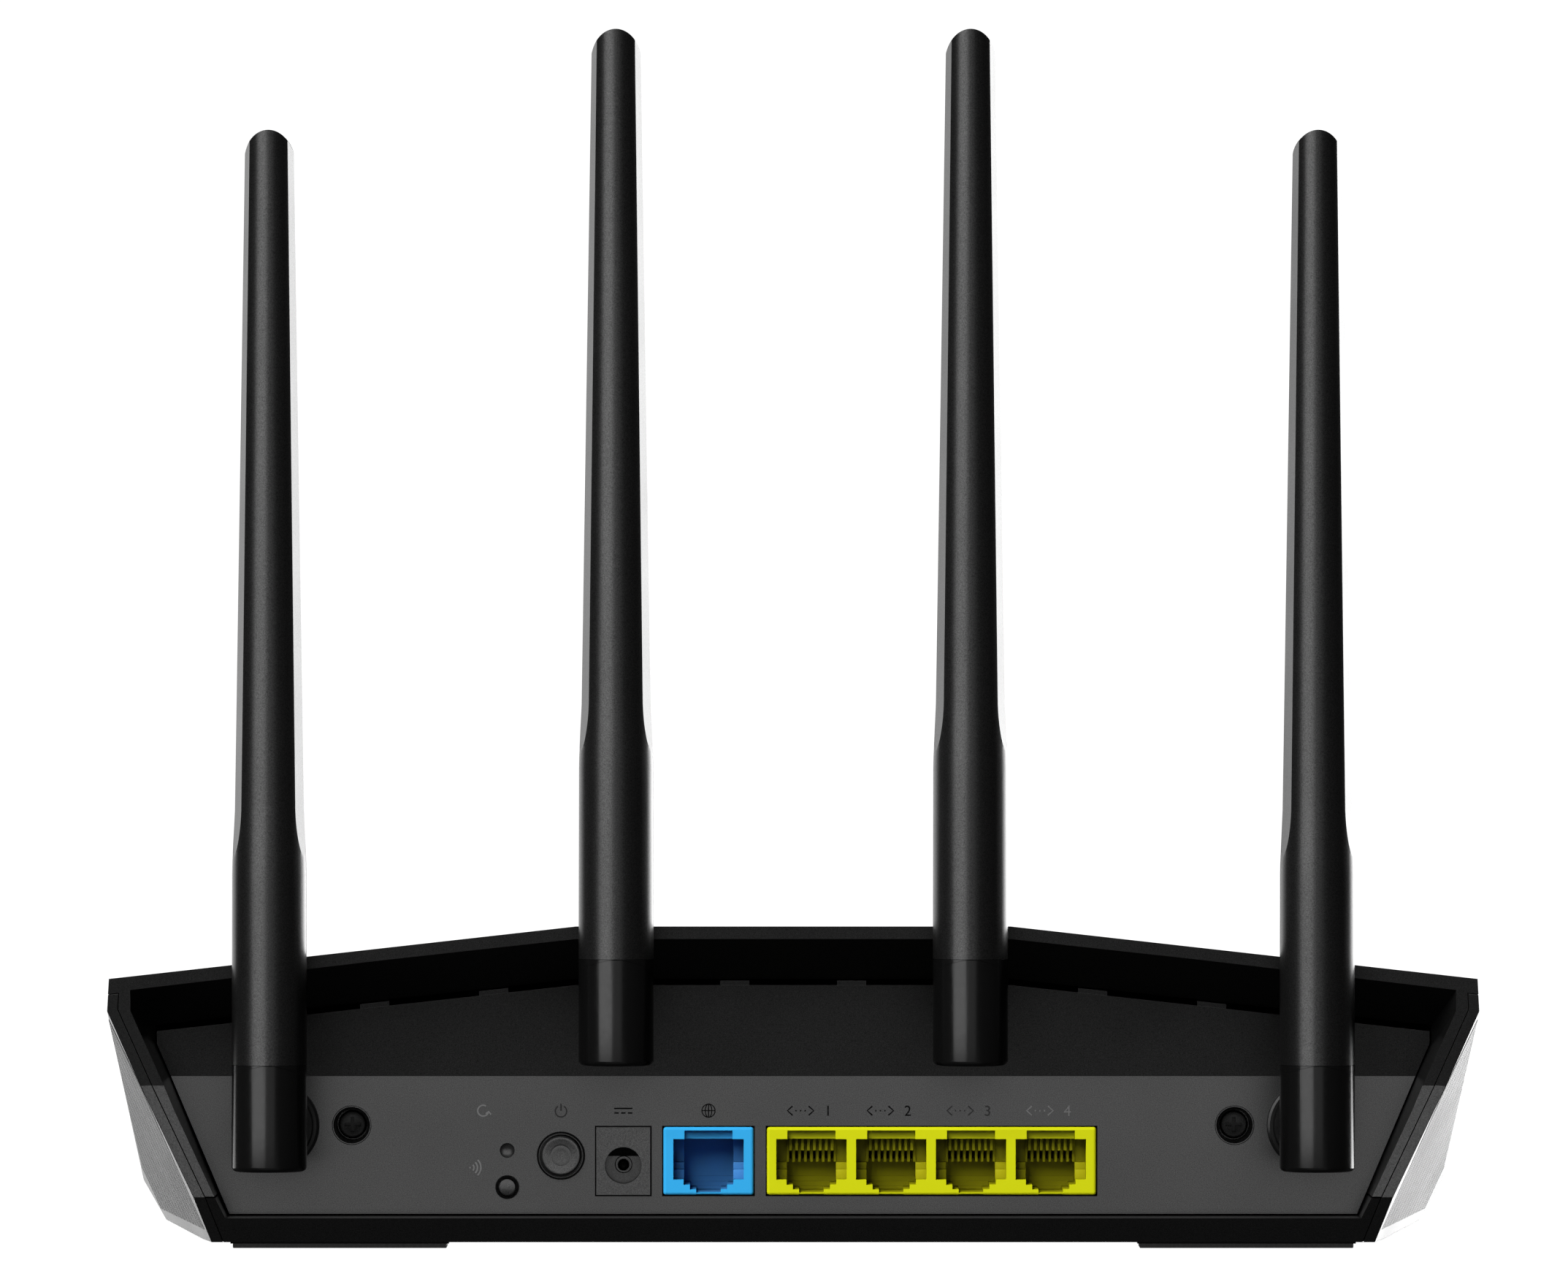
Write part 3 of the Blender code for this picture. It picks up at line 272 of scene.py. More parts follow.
class Finish:
    """A procedural material: a Principled shader with helpers that add pattern to it."""

    def __init__(self, name, colour, roughness, metallic=0.0, **sockets):
        self.material = bpy.data.materials.new(name)
        self.material.use_nodes = True
        self.nodes = self.material.node_tree.nodes
        self.links = self.material.node_tree.links
        self.shader = self.nodes["Principled BSDF"]
        self.colour = colour
        self.set("Base Color", (*colour, 1.0))
        self.set("Roughness", roughness)
        self.set("Metallic", metallic)
        for socket, value in sockets.items():
            self.set(socket.replace("_", " "), value)
        self.place = self.nodes.new("ShaderNodeTexCoord").outputs["Object"]
        self.normal = None

    def set(self, socket, value):
        self.shader.inputs[socket].default_value = value

    def noise(self, size, detail=2.0, stretch=(1, 1, 1)):
        """Noise whose features are about size millimetres across."""
        place = self.place
        if stretch != (1, 1, 1):
            mapping = self.nodes.new("ShaderNodeMapping")
            mapping.inputs["Scale"].default_value = stretch
            self.links.new(place, mapping.inputs["Vector"])
            place = mapping.outputs["Vector"]
        noise = self.nodes.new("ShaderNodeTexNoise")
        noise.inputs["Scale"].default_value = 1 / (size * MM)
        noise.inputs["Detail"].default_value = detail
        self.links.new(place, noise.inputs["Vector"])
        return noise.outputs["Fac"]

    def ranged(self, value, low_value, high_value, low_out, high_out):
        ranged = self.nodes.new("ShaderNodeMapRange")
        for socket, number in zip(
            ("From Min", "From Max", "To Min", "To Max"),
            (low_value, high_value, low_out, high_out),
        ):
            ranged.inputs[socket].default_value = number
        self.links.new(value, ranged.inputs["Value"])
        return ranged.outputs["Result"]

    def tint(self, factor, dark, light):
        """Mix the colour between two shades of itself by a factor."""
        self.mix(factor, [c * dark for c in self.colour], [c * light for c in self.colour])

    def mix(self, factor, first, second):
        mix = self.nodes.new("ShaderNodeMix")
        mix.data_type = "RGBA"
        self.links.new(factor, mix.inputs["Factor"])
        mix.inputs["A"].default_value = (*first, 1.0)
        mix.inputs["B"].default_value = (*second, 1.0)
        self.links.new(mix.outputs["Result"], self.shader.inputs["Base Color"])

    def roughen(self, factor, low_out, high_out):
        self.links.new(self.ranged(factor, 0.3, 0.7, low_out, high_out), self.shader.inputs["Roughness"])

    def bump(self, height, depth, strength=1.0):
        """Raise the surface by up to depth millimetres where the height is 1."""
        bump = self.nodes.new("ShaderNodeBump")
        bump.inputs["Distance"].default_value = depth * MM
        bump.inputs["Strength"].default_value = strength
        self.links.new(height, bump.inputs["Height"])
        if self.normal:
            self.links.new(self.normal, bump.inputs["Normal"])
        self.normal = bump.outputs["Normal"]
        self.links.new(self.normal, self.shader.inputs["Normal"])


SHEEN = (0.3, 0.71)


def grained(name, colour, roughness, grain, depth, speckle=(0.6, 1.5), sheen=SHEEN, **sockets):
    """Moulded plastic with a fine spark-eroded grain, seen as a speckle in colour and sheen."""
    finish = Finish(name, colour, roughness, **sockets)
    fine = finish.noise(grain, 3.0)
    speck = finish.ranged(fine, 0.3, 0.7, 0.0, 1.0)
    finish.tint(speck, *speckle)
    finish.links.new(finish.ranged(speck, 0.0, 1.0, *sheen), finish.shader.inputs["Specular IOR Level"])
    finish.roughen(finish.noise(14.0, 1.0), roughness - 0.015, roughness + 0.015)
    finish.bump(fine, depth)
    return finish.material


def glossy(name, colour, roughness, **sockets):
    """Smooth moulded plastic with faint ripple and dust-fine variation."""
    finish = Finish(name, colour, roughness, **sockets)
    ripple = finish.noise(5.0, 1.0)
    fine = finish.noise(0.25)
    finish.tint(finish.ranged(fine, 0.3, 0.7, 0.0, 1.0), 0.95, 1.05)
    finish.roughen(finish.noise(1.2), roughness - 0.02, roughness + 0.03)
    finish.bump(ripple, 0.003)
    finish.bump(fine, 0.0006)
    return finish.material


def socket_plastic(name, colour, face, deep_shade, roughness=0.4):
    """Smooth coloured plastic with painted shade: its colour darkens with depth behind the face, in
    millimetres, standing in for the shade inside the socket openings.
    """
    finish = Finish(name, colour, roughness)
    place = finish.nodes.new("ShaderNodeSeparateXYZ")
    finish.links.new(finish.place, place.inputs["Vector"])
    # Painted shade: from 0.5 mm to 4 mm behind the face the colour darkens to its deepest shade, standing
    # in for the shade inside the openings.
    depth = finish.ranged(place.outputs["Y"], (face + 0.5) * MM, (face + 4.0) * MM, 0.0, 1.0)
    finish.mix(depth, colour, [c * d for c, d in zip(colour, deep_shade)])
    finish.roughen(finish.noise(1.2), roughness - 0.02, roughness + 0.03)
    finish.bump(finish.noise(5.0, 1.0), 0.003)
    return finish.material


def brushed(name, colour, roughness, stretch):
    """Drawn or brushed metal."""
    finish = Finish(name, colour, roughness, metallic=1.0)
    streaks = finish.noise(0.3, 3.0, stretch)
    finish.tint(finish.ranged(streaks, 0.3, 0.7, 0.0, 1.0), 0.8, 1.1)
    finish.roughen(streaks, roughness - 0.08, roughness + 0.1)
    finish.bump(streaks, 0.004)
    return finish.material


def board_material():
    """Green solder mask over copper tracks and pads."""
    finish = Finish("board_mask", (0.006, 0.07, 0.03), 0.35)
    tracks = finish.nodes.new("ShaderNodeTexBrick")
    tracks.inputs["Scale"].default_value = 240.0
    tracks.inputs["Mortar Size"].default_value = 0.012
    finish.links.new(finish.place, tracks.inputs["Vector"])
    finish.mix(tracks.outputs["Fac"], (0.006, 0.07, 0.03), (0.03, 0.2, 0.07))
    finish.bump(tracks.outputs["Fac"], 0.03)
    finish.bump(finish.noise(0.2), 0.004)
    return finish.material


def make_materials():
    made = {
        "casing": grained("casing_satin", (0.007, 0.007, 0.007), 0.3, 0.14, 0.002),
        "panel": grained("panel_grained", (0.008, 0.008, 0.008), 0.3, 0.14, 0.002),
        "textured": grained("side_satin", (0.02, 0.02, 0.02), 0.36, 0.2, 0.003),
        # The ground between the side ribs is a darker, duller copy of the rib plastic: painted shade in
        # the grooves.
        "groove": grained("side_groove", (0.01, 0.01, 0.01), 0.36, 0.2, 0.003, sheen=(0.1, 0.2)),
        "antenna": grained("antenna_grained", (0.006, 0.006, 0.006), 0.31, 0.2, 0.003, sheen=(0.5, 1.0)),
        "knuckle": glossy("knuckle_gloss", (0.004, 0.004, 0.004), 0.2),
        "rubber": grained("foot_rubber", (0.62, 0.62, 0.61), 0.8, 0.5, 0.02, (0.9, 1.1)),
        # The last factors multiply each socket colour deep in the openings: painted shade, darker for the
        # yellow, darker and shifted towards violet for the blue.
        "yellow": socket_plastic("socket_yellow", (0.65, 0.68, 0.006), SOCKET_Y, (0.55, 0.5, 1.0)),
        "blue": socket_plastic("socket_blue", (0.038, 0.42, 0.84), SOCKET_Y, (1.6, 0.55, 0.62)),
        "jack": grained("jack_black", (0.008, 0.008, 0.008), 0.3, 0.14, 0.002),
        # A darker, duller copy of the jack's black for the floor of its well: painted shade.
        "jack_floor": grained("jack_floor", (0.006, 0.006, 0.006), 0.3, 0.14, 0.002, sheen=(0.3, 0.5)),
        "button": grained("button_satin", (0.01, 0.01, 0.01), 0.3, 0.14, 0.002),
        "dark_steel": brushed("screw_black_zinc", (0.22, 0.22, 0.22), 0.3, (1, 1, 1)),
        # Near-black metal for the jack's pin: painted shade of the deep bore it sits in.
        "pin": brushed("jack_pin", (0.03, 0.03, 0.03), 0.3, (1, 1, 1)),
        "steel": brushed("steel_zinc", (0.55, 0.55, 0.56), 0.3, (1, 1, 1)),
        "gold": brushed("contact_gold", (0.8, 0.55, 0.2), 0.28, (1, 8, 1)),
        "brass": brushed("radiator_brass", (0.72, 0.5, 0.24), 0.35, (1, 1, 0.1)),
        "aluminium": brushed("shield_metal", (0.7, 0.7, 0.72), 0.35, (0.1, 1, 1)),
        "board": board_material(),
        "component": grained("component_epoxy", (0.015, 0.015, 0.016), 0.5, 0.3, 0.01),
        "lead": grained("lead_sleeve", (0.08, 0.08, 0.08), 0.45, 0.4, 0.01),
        "window": glossy("window_smoked", (0.03, 0.03, 0.035), 0.12, Transmission_Weight=0.6),
        # Near-black finish for gaps and deep holes: the sheets that carry it stand where there is only
        # shade, so it is painted shade.
        "hollow": grained("painted_shade_black", (0.002, 0.002, 0.002), 0.6, 0.3, 0.01),
        # One printed grey in three tones: the tone a mark gets stands in for the sheen that varies across
        # the glossy print, so the tones are painted sheen and shade.
        "ink_pale": glossy("print_pale", (0.17, 0.17, 0.17), 0.35),
        "ink_dark": glossy("print_dark", (0.0015, 0.0015, 0.0015), 0.3),
        "ink_half_sheen": glossy("print_half_sheen", (0.03, 0.03, 0.03), 0.35),
        "label": grained("blank_label", (0.55, 0.55, 0.54), 0.4, 0.4, 0.004, (0.95, 1.05)),
        "light": glossy("light_guide", (0.7, 0.72, 0.75), 0.3),
    }
    return made


FINISH = make_materials()

# Finishes and edge radii of the nodes that stay as the frame has them, by what their names hold

NODE_FINISHES = {
    "top_cover": "casing",
    "base_tray": "casing",
    "rear_panel": "panel",
    "side_panel": "casing",
    "foot": "rubber",
    "power_switch": "component",
    "wps_switch": "component",
    "reset_switch": "component",
    "board_screw": "steel",
    "main_board": "board",
    "lan_transformer": "component",
    "wan_transformer": "component",
    "radio_shield": "aluminium",
    "processor_shield": "aluminium",
    "heat_sink": "aluminium",
    "capacitor": "component",
    "led_window": "window",
    "clip": "steel",
    "pin": "steel",
    "radiator": "brass",
    "lead": "lead",
}
ROUND_NODE_SHARP_ANGLE = 28
NODE_EDGES = {
    "top_cover": 0.12,
    "base_tray": 0.12,
    "rear_panel": 0.08,
    "side_panel": 0.1,
    "led_window": 0.15,
    "foot": 0.2,
    "shield": 0.3,
    "transformer": 0.2,
    "capacitor": 0.4,
    "heat_sink": 0.1,
    "board_screw": 0.15,
}


def finish_nodes():
    """Give each frame node its material, smooth shading where it is round, and softened edges."""
    for name, obj in frame["nodes"].items():
        matches = [key for key in NODE_FINISHES if name.startswith(key) or name.endswith("_" + key)]
        if not matches:
            continue
        kind = max(matches, key=len)
        obj.data.materials.clear()
        obj.data.materials.append(FINISH[NODE_FINISHES[kind]])
        for polygon in obj.data.polygons:
            polygon.material_index = 0
        obj.data.shade_smooth()
        edges = [width for key, width in NODE_EDGES.items() if key in name]
        if edges:
            soften(obj, edges[0])
        else:
            obj.data.set_sharp_from_angle(angle=math.radians(ROUND_NODE_SHARP_ANGLE))


# Antennas, in millimetres from the middle of each joint line: across, forwards, up

HALF_WIDTH, HALF_DEPTH = 6.5, 6.0
BLADE_UNCUT_HEIGHT = 165.0
TIP_HALF_WIDTH, TIP_HEIGHT = 4.4, 5.5
# The blade's two flats start at a height and grow over a length, and are placed by angle round the oval
BLADE_RUN_OUT = 36.0
FLAT_GROWTH = 8.0
FLAT_MIDDLE = -16.9
FLAT_HALF = 21.9
FLAT_BORDER = 6
PIN_FORWARD, PIN_UP = -3.2, 2.8
SLOT_HALF_WIDTH = 2.8
SLOT_RADIUS = 2.2
LUG_HALF_WIDTH = 2.5
LUG_RADIUS = 1.9
LUG_BORE_RADIUS = 1.1
KNUCKLE_BOTTOM = -18.4
KNUCKLE_TOP = -0.04
KNUCKLE_FILLET = 0.9
KNUCKLE_TOP_EDGE = 0.06
HINGE_RELIEF_RADIUS = 4.0
HINGE_CLEARANCE = 0.04
SWIVEL_UP = -11.5
STUB_RADIUS = 4.0
OUTER_DISC_RADIUS, INNER_DISC_RADIUS = 7.7, 6.2
DISC_THICKNESS = 1.5
OUTER_DISC_GAP, INNER_DISC_GAP = 0.3, 1.7
# The panel behind the inner discs leans: how much nearer it is for each millimetre above a height
LEAN_START_Z = 30.3
PANEL_LEAN = 0.194


def between(x, knots):
    """A value read off straight lines through knots of (x, value)."""
    if x <= knots[0][0]:
        return knots[0][1]
    for (x0, y0), (x1, y1) in zip(knots, knots[1:]):
        if x <= x1:
            return y0 + (y1 - y0) * (x - x0) / (x1 - x0)
    return knots[-1][1]


# Half sizes of the blade by height
HALF_WIDTHS = ((0.0, 6.45), (0.06, HALF_WIDTH), (34.0, 6.42), (44.0, 5.99), (57.7, 5.775), (165.0, 4.13))
HALF_DEPTHS = ((0.0, 5.95), (0.06, HALF_DEPTH), (34.0, 5.9), (44.0, 5.4), (57.7, 5.15), (165.0, 3.8))


def blade_ring(height):
    """Points round the blade at a height: an ellipse whose rear corners are planed to flats."""
    wide, deep = between(height, HALF_WIDTHS), between(height, HALF_DEPTHS)
    grown = min(1.0, max(0.0, (height - BLADE_RUN_OUT) / FLAT_GROWTH))
    half = FLAT_HALF * math.sqrt(1 - (1 - grown) ** 2)
    spread = max(half, 4.0)
    first, last = FLAT_MIDDLE - spread, FLAT_MIDDLE + spread
    outer_first = FLAT_MIDDLE - FLAT_HALF - FLAT_BORDER
    outer_last = FLAT_MIDDLE + FLAT_HALF + FLAT_BORDER

    def on_oval(angle):
        turn = math.radians(angle)
        return Vector((wide * math.cos(turn), deep * math.sin(turn)))

    right = [on_oval(outer_first + (first - outer_first) * i / 3) for i in range(3)]
    start, end = on_oval(first), on_oval(last)
    for i in range(12):
        share = i / 12
        flat = start.lerp(end, share)
        right.append(flat if grown > 0 else on_oval(first + (last - first) * share))
    right += [on_oval(last + (outer_last - last) * i / 3) for i in range(4)]
    front = [on_oval(outer_last + (180 - 2 * outer_last) * i / 44) for i in range(1, 44)]
    left = [Vector((-point.x, point.y)) for point in reversed(right)]
    rear_span = 180 + 2 * outer_first
    rear = [on_oval(180 - outer_first + rear_span * i / 28) for i in range(1, 28)]
    return [*right, *front, *left, *rear]


def above_tip(x, y, top_z):
    """The space over a blade's tip: everything above an arch that runs from rear to front."""
    reach = TIP_HALF_WIDTH + 2
    crown = top_z - TIP_HEIGHT
    outline = [(reach, crown - 1), (reach, top_z + 9), (-reach, top_z + 9), (-reach, crown - 1)]
    for across, up in arc((0, 0), 1.0, 180, 0, 64):
        outline.append((across * TIP_HALF_WIDTH, crown + up * TIP_HEIGHT))
    return loft([[Vector((x + across, y + deep, up)) for across, up in outline] for deep in (-9, 9)])


def make_blade(name):
    x, y, _ = middle(f"antenna_{name}_blade")
    z, top_z = low(f"antenna_{name}_blade").z, high(f"antenna_{name}_blade").z
    origin = Vector((x, y, z))
    heights = [0.0, 0.06, 1.5, 6.0, 12.0, 18.0, 24.0, 29.0, 33.0, 35.0, 35.99]
    heights += [BLADE_RUN_OUT + FLAT_GROWTH * (i / 12) ** 2 for i in range(1, 13)]
    heights += [46.0, 49.0, 53.0, 57.7, 64.0, 72.0, 82.0, 94.0, 106.0, 118.0, 130.0, 140.0, 150.0]
    heights.append(BLADE_UNCUT_HEIGHT)
    rings = []
    for height in heights:
        rings.append([origin + Vector((p.x, p.y, height)) for p in blade_ring(height)])
    pin = origin + Vector((0, PIN_FORWARD, PIN_UP))
    left, right = x - SLOT_HALF_WIDTH, x + SLOT_HALF_WIDTH
    half_slot = Vector((SLOT_HALF_WIDTH, 0, 0))
    slot = box((left, pin.y, z - 4), (right, y + 5.2, pin.z + SLOT_RADIUS))
    slot_end = rod(pin - half_slot, pin + half_slot, SLOT_RADIUS)
    under = box((left, pin.y - SLOT_RADIUS, z - 4), (right, pin.y + 0.5, pin.z))
    make_hinge_barrel(name, origin, pin, [slot.copy(), under.copy()])
    bm = solid(loft(rings), cuts=(above_tip(x, y, top_z), slot, slot_end, under))
    return piece(
        f"{name}_blade_skin",
        bm,
        FINISH["antenna"],
        f"antenna_{name}_arm",
        [f"antenna_{name}_blade"],
        sharp=13,
    )


def make_hinge_barrel(name, origin, pin, cuts):
    """The rounded foot of the blade that turns in the knuckle's hollow top."""
    reach = Vector((9, 0, 0))
    column = loft([oval(origin + Vector((0, 0, up)), HALF_WIDTH, HALF_DEPTH) for up in (-3.0, -0.01)])
    turning = rod(pin - reach, pin + reach, HINGE_RELIEF_RADIUS - HINGE_CLEARANCE, 96)
    piece(
        f"{name}_blade_foot",
        solid(column, within=(turning,), cuts=cuts),
        FINISH["knuckle"],
        f"antenna_{name}_arm",
        sharp=24,
    )


def oval(centre, wide, deep, count=96):
    points = []
    for i in range(count):
        angle = math.tau * i / count
        points.append(centre + Vector((wide * math.cos(angle), deep * math.sin(angle), 0)))
    return points


def make_knuckle(name):
    """Glossy base: an oval barrel, the disc and stub that go through the panel, and the hinge lug."""
    x, y, _ = middle(f"antenna_{name}_blade")
    z = low(f"antenna_{name}_blade").z
    origin = Vector((x, y, z))
    outline = []
    for angle in (0, 15, 30, 45, 60, 75, 90):
        turn = math.radians(angle)
        inset = KNUCKLE_FILLET * (1 - math.sin(turn))
        outline.append((KNUCKLE_BOTTOM + KNUCKLE_FILLET * (1 - math.cos(turn)), inset))
    outline += [(-10.0, 0.0), (KNUCKLE_TOP - KNUCKLE_TOP_EDGE, 0.0), (KNUCKLE_TOP, KNUCKLE_TOP_EDGE)]
    rings = []
    for height, inset in outline:
        rings.append(oval(origin + Vector((0, 0, height)), HALF_WIDTH - inset, HALF_DEPTH - inset))
    pin = origin + Vector((0, PIN_FORWARD, PIN_UP))
    relief = rod(pin - Vector((9, 0, 0)), pin + Vector((9, 0, 0)), HINGE_RELIEF_RADIUS, 96)
    barrel = solid(loft(rings), cuts=(relief,))

    swivel = origin + Vector((0, 0, SWIVEL_UP))
    if name.startswith("outer"):
        disc_radius = OUTER_DISC_RADIUS
        disc_back = PANEL_Y - OUTER_DISC_GAP
    else:
        disc_radius = INNER_DISC_RADIUS
        disc_back = PANEL_Y - INNER_DISC_GAP - (swivel.z - LEAN_START_Z) * PANEL_LEAN
    disc_profile = [(0, 0), (0, disc_radius - 1.3), (0.25, disc_radius - 1.0), (0.25, disc_radius - 0.5)]
    disc_profile += [(0.45, disc_radius - 0.1), (0.7, disc_radius), (DISC_THICKNESS, disc_radius)]
    disc_profile.append((DISC_THICKNESS, 0))
    disc = turned((swivel.x, disc_back - DISC_THICKNESS, swivel.z), (0, 1, 0), disc_profile, 96)
    stub_profile = [(0, STUB_RADIUS), (26, STUB_RADIUS), (26, 3.0), (27.6, 3.0), (27.6, STUB_RADIUS)]
    stub = turned(swivel, (0, 1, 0), [*stub_profile, (29, 3.6)])
    left, right = x - LUG_HALF_WIDTH, x + LUG_HALF_WIDTH
    half_lug = Vector((LUG_HALF_WIDTH, 0, 0))
    post = box((left, y + 1.6, z - 1.3), (right, y + 4.3, pin.z + LUG_RADIUS), 0.3)
    arm = box((left, pin.y, pin.z - LUG_RADIUS), (right, y + 4.0, pin.z + LUG_RADIUS), 0.3)
    eye = rod(pin - half_lug, pin + half_lug, LUG_RADIUS)
    bore = rod(pin - Vector((4, 0, 0)), pin + Vector((4, 0, 0)), LUG_BORE_RADIUS)
    bm = solid(barrel, adds=(disc, stub, post, arm, eye), cuts=(bore,))
    return piece(
        f"{name}_knuckle_skin",
        bm,
        FINISH["knuckle"],
        f"antenna_{name}_base",
        [f"antenna_{name}_knuckle"],
        sharp=24,
    )


# Sockets


# Steps of a network socket's opening: width, lowest and highest height above the block, depth
OPENING_STEPS = (
    (12.3, 2.7, 9.8, 13.0),
    (8.4, 9.0, 11.3, 1.6),
    (8.7, 1.8, 3.5, 12.8),
    (6.5, 1.0, 2.5, 12.6),
    (4.3, 0.45, 1.5, 12.4),
)
# Each ledge on a socket's inner walls: lowest and highest height, and where it starts behind the face
LEDGES = ((2.6, 4.3, 4.2), (4.3, 5.5, 5.4), (5.5, 9.9, 7.4))
LEDGE_WALL, LEDGE_EDGE = 6.3, 4.3
CONTACT_PITCH = 1.04
CONTACT_COUNT = 8
CONTACT_PATH = ((4.6, 9.3), (6.4, 8.9), (8.2, 7.9), (10.4, 6.6), (12.2, 5.9))
FIN_HALF_WIDTH, TOOTH_HALF_WIDTH = 0.24, 0.26
FIN_ROUNDING = 0.08


def socket_cuts(x, face, bottom):
    """The stepped opening of a network socket, and the notch under it."""
    cuts = []
    for width, low_z, high_z, deep in OPENING_STEPS:
        low_corner = (x - width / 2, face - 1, bottom + low_z)
        high_corner = (x + width / 2, face + deep, bottom + high_z)
        cuts.append(box(low_corner, high_corner))
    cuts.append(box((x - 2.15, face - 1, bottom - 1), (x + 2.15, face + 0.9, bottom + 0.2)))
    return cuts


def make_socket_block(name, centres, finish):
    """A moulded block with its openings, the ledges inside and the slots along its bottom."""
    low_corner, high_corner = low(name), high(name)
    face, bottom = low_corner.y, low_corner.z
    block = box(low_corner, high_corner, 0.5, 3)
    openings = [socket_cuts(x, face, bottom) for x in centres]
    bm = solid(block, cuts=[joined(same) for same in zip(*openings)])
    piece(f"{name}_skin", bm, FINISH[finish], "housing", [name], bevel=0.06)


def make_ledges(name, x, face, bottom, finish):
    """The stepped guides on both inner walls of a socket."""
    steps = []
    for side in (-1, 1):
        left, right = sorted((x + side * LEDGE_WALL, x + side * LEDGE_EDGE))
        for low_z, high_z, start in LEDGES:
            low_corner = (left, face + start, bottom + low_z)
            high_corner = (right, face + 12.9, bottom + high_z)
            steps.append(box(low_corner, high_corner, FIN_ROUNDING))
    piece(f"{name}_guides", joined(steps), FINISH[finish], "housing")


def make_comb(name, x, face, bottom, finish):
    """Two offset rows of fins that guide the eight contacts, and the contacts between them."""
    fins, wires = [], []
    for i in range(CONTACT_COUNT + 1):
        centre = x + (i - CONTACT_COUNT / 2) * CONTACT_PITCH
        low_corner = (centre - FIN_HALF_WIDTH, face + 7.0, bottom + 5.5)
        high_corner = (centre + FIN_HALF_WIDTH, face + 12.8, bottom + 9.9)
        fins.append(box(low_corner, high_corner, FIN_ROUNDING))
    for i in range(CONTACT_COUNT):
        centre = x + (i - (CONTACT_COUNT - 1) / 2) * CONTACT_PITCH
        low_corner = (centre - TOOTH_HALF_WIDTH, face + 4.2, bottom + 7.6)
        high_corner = (centre + TOOTH_HALF_WIDTH, face + 6.8, bottom + 9.9)
        fins.append(box(low_corner, high_corner, FIN_ROUNDING))
        rings = []
        for forwards, up in CONTACT_PATH:
            ring = []
            for across, rise in ((-0.16, -0.1), (0.16, -0.1), (0.16, 0.1), (-0.16, 0.1)):
                ring.append(Vector((centre + across, face + forwards, bottom + up + rise)))
            rings.append(ring)
        wires.append(loft(rings))
    back = box((x - 4.4, face + 12.6, bottom + 5.4), (x + 4.4, face + 12.95, bottom + 9.9))
    piece(f"{name}_comb", joined([*fins, back]), FINISH[finish], "housing")
    piece(f"{name}_contacts", joined(wires), FINISH["gold"], "housing")


def make_sockets():
    make_socket_block("lan_socket_block", LAN_CENTRES_X, "yellow")
    make_socket_block("wan_socket", [WAN_X], "blue")
    face, bottom = low("lan_socket_block").y, low("lan_socket_block").z
    for i, x in enumerate(LAN_CENTRES_X):
        make_ledges(f"lan_{i + 1}", x, face, bottom, "yellow")
        make_comb(f"lan_{i + 1}", x, face, bottom, "yellow")
    make_ledges("wan", WAN_X, face, bottom, "blue")


# Buttons, rings, screws


def make_power_button():
    """A dished cap with a flat centre in a raised ring; the ring's near-black finish is painted shade of
    the gap round the cap.
    """
    x, _, z = middle("power_button")
    face = low("power_button").y
    profile = [(0.15, 0.0), (0.148, 0.6), (0.133, 1.2), (0.104, 1.75), (0.112, 1.8), (0.097, 1.85)]
    profile += [(0.08, 2.1), (0.05, 2.5), (0.015, 2.85), (0.0, 3.1), (0.03, 3.3), (0.2, 3.5), (4.75, 3.5)]
    profile += [(4.75, 4.3), (5.75, 4.3), (5.75, 1.6), (9.95, 1.6), (9.95, 0.0)]
    bm = turned((x, face, z), (0, 1, 0), profile, 96)
    piece("power_cap", bm, FINISH["button"], "power_button", ["power_button"], sharp=50)
    # Painted shade: a near-black ring round the cap stands in for the shadow in the gap.
    ring = [(0.6, 3.8), (0.1, 3.8), (-0.04, 3.9), (-0.05, 4.1), (0.05, 4.2), (0.6, 4.2), (0.6, 3.8)]
    bm = turned((x, PANEL_Y - 0.5, z), (0, 1, 0), ring, 96)
    piece("power_ring_shade", bm, FINISH["hollow"], "housing")


def make_wps_button():
    """A flat round cap in a narrow raised ring; the ring's near-black finish is painted shade of the gap
    round the cap.
    """
    x, _, z = middle("wps_button")
    face = low("wps_button").y
    profile = [(0.0, 0.0), (0.0, 1.3), (0.03, 1.39), (0.12, 1.45), (2.95, 1.45), (2.95, 2.3)]
    profile += [(4.15, 2.3), (4.15, 0.8), (5.65, 0.8), (5.65, 0.0)]
    bm = turned((x, face, z), (0, 1, 0), profile)
    piece("wps_cap", bm, FINISH["button"], "wps_button", ["wps_button"])
    # Painted shade: a near-black ring round the cap stands in for the shadow in the gap.
    ring = [(0.4, 1.56), (0.06, 1.56), (-0.02, 1.64), (-0.02, 2.0), (0.06, 2.08), (0.4, 2.08), (0.4, 1.56)]
    bm = turned((x, PANEL_Y - 0.3, z), (0, 1, 0), ring)
    piece("wps_ring_shade", bm, FINISH["hollow"], "housing")


def make_reset_button():
    """A plunger whose end is a shallow dish, nearly level with the panel."""
    x, _, z = middle("reset_button")
    face, back = PANEL_Y + 0.02, high("reset_button").y
    profile = [(0.34, 0.0), (0.31, 0.4), (0.22, 0.8), (0.1, 1.1), (0.0, 1.27)]
    profile += [(back - face, 1.27), (back - face, 0.0)]
    bm = turned((x, face, z), (0, 1, 0), profile)
    piece("reset_plunger", bm, FINISH["button"], "reset_button", ["reset_button"], sharp=60)


WELL_RADIUS = 3.2
WELL_STEP_UP = 1.5
BORE_RADIUS = 1.55


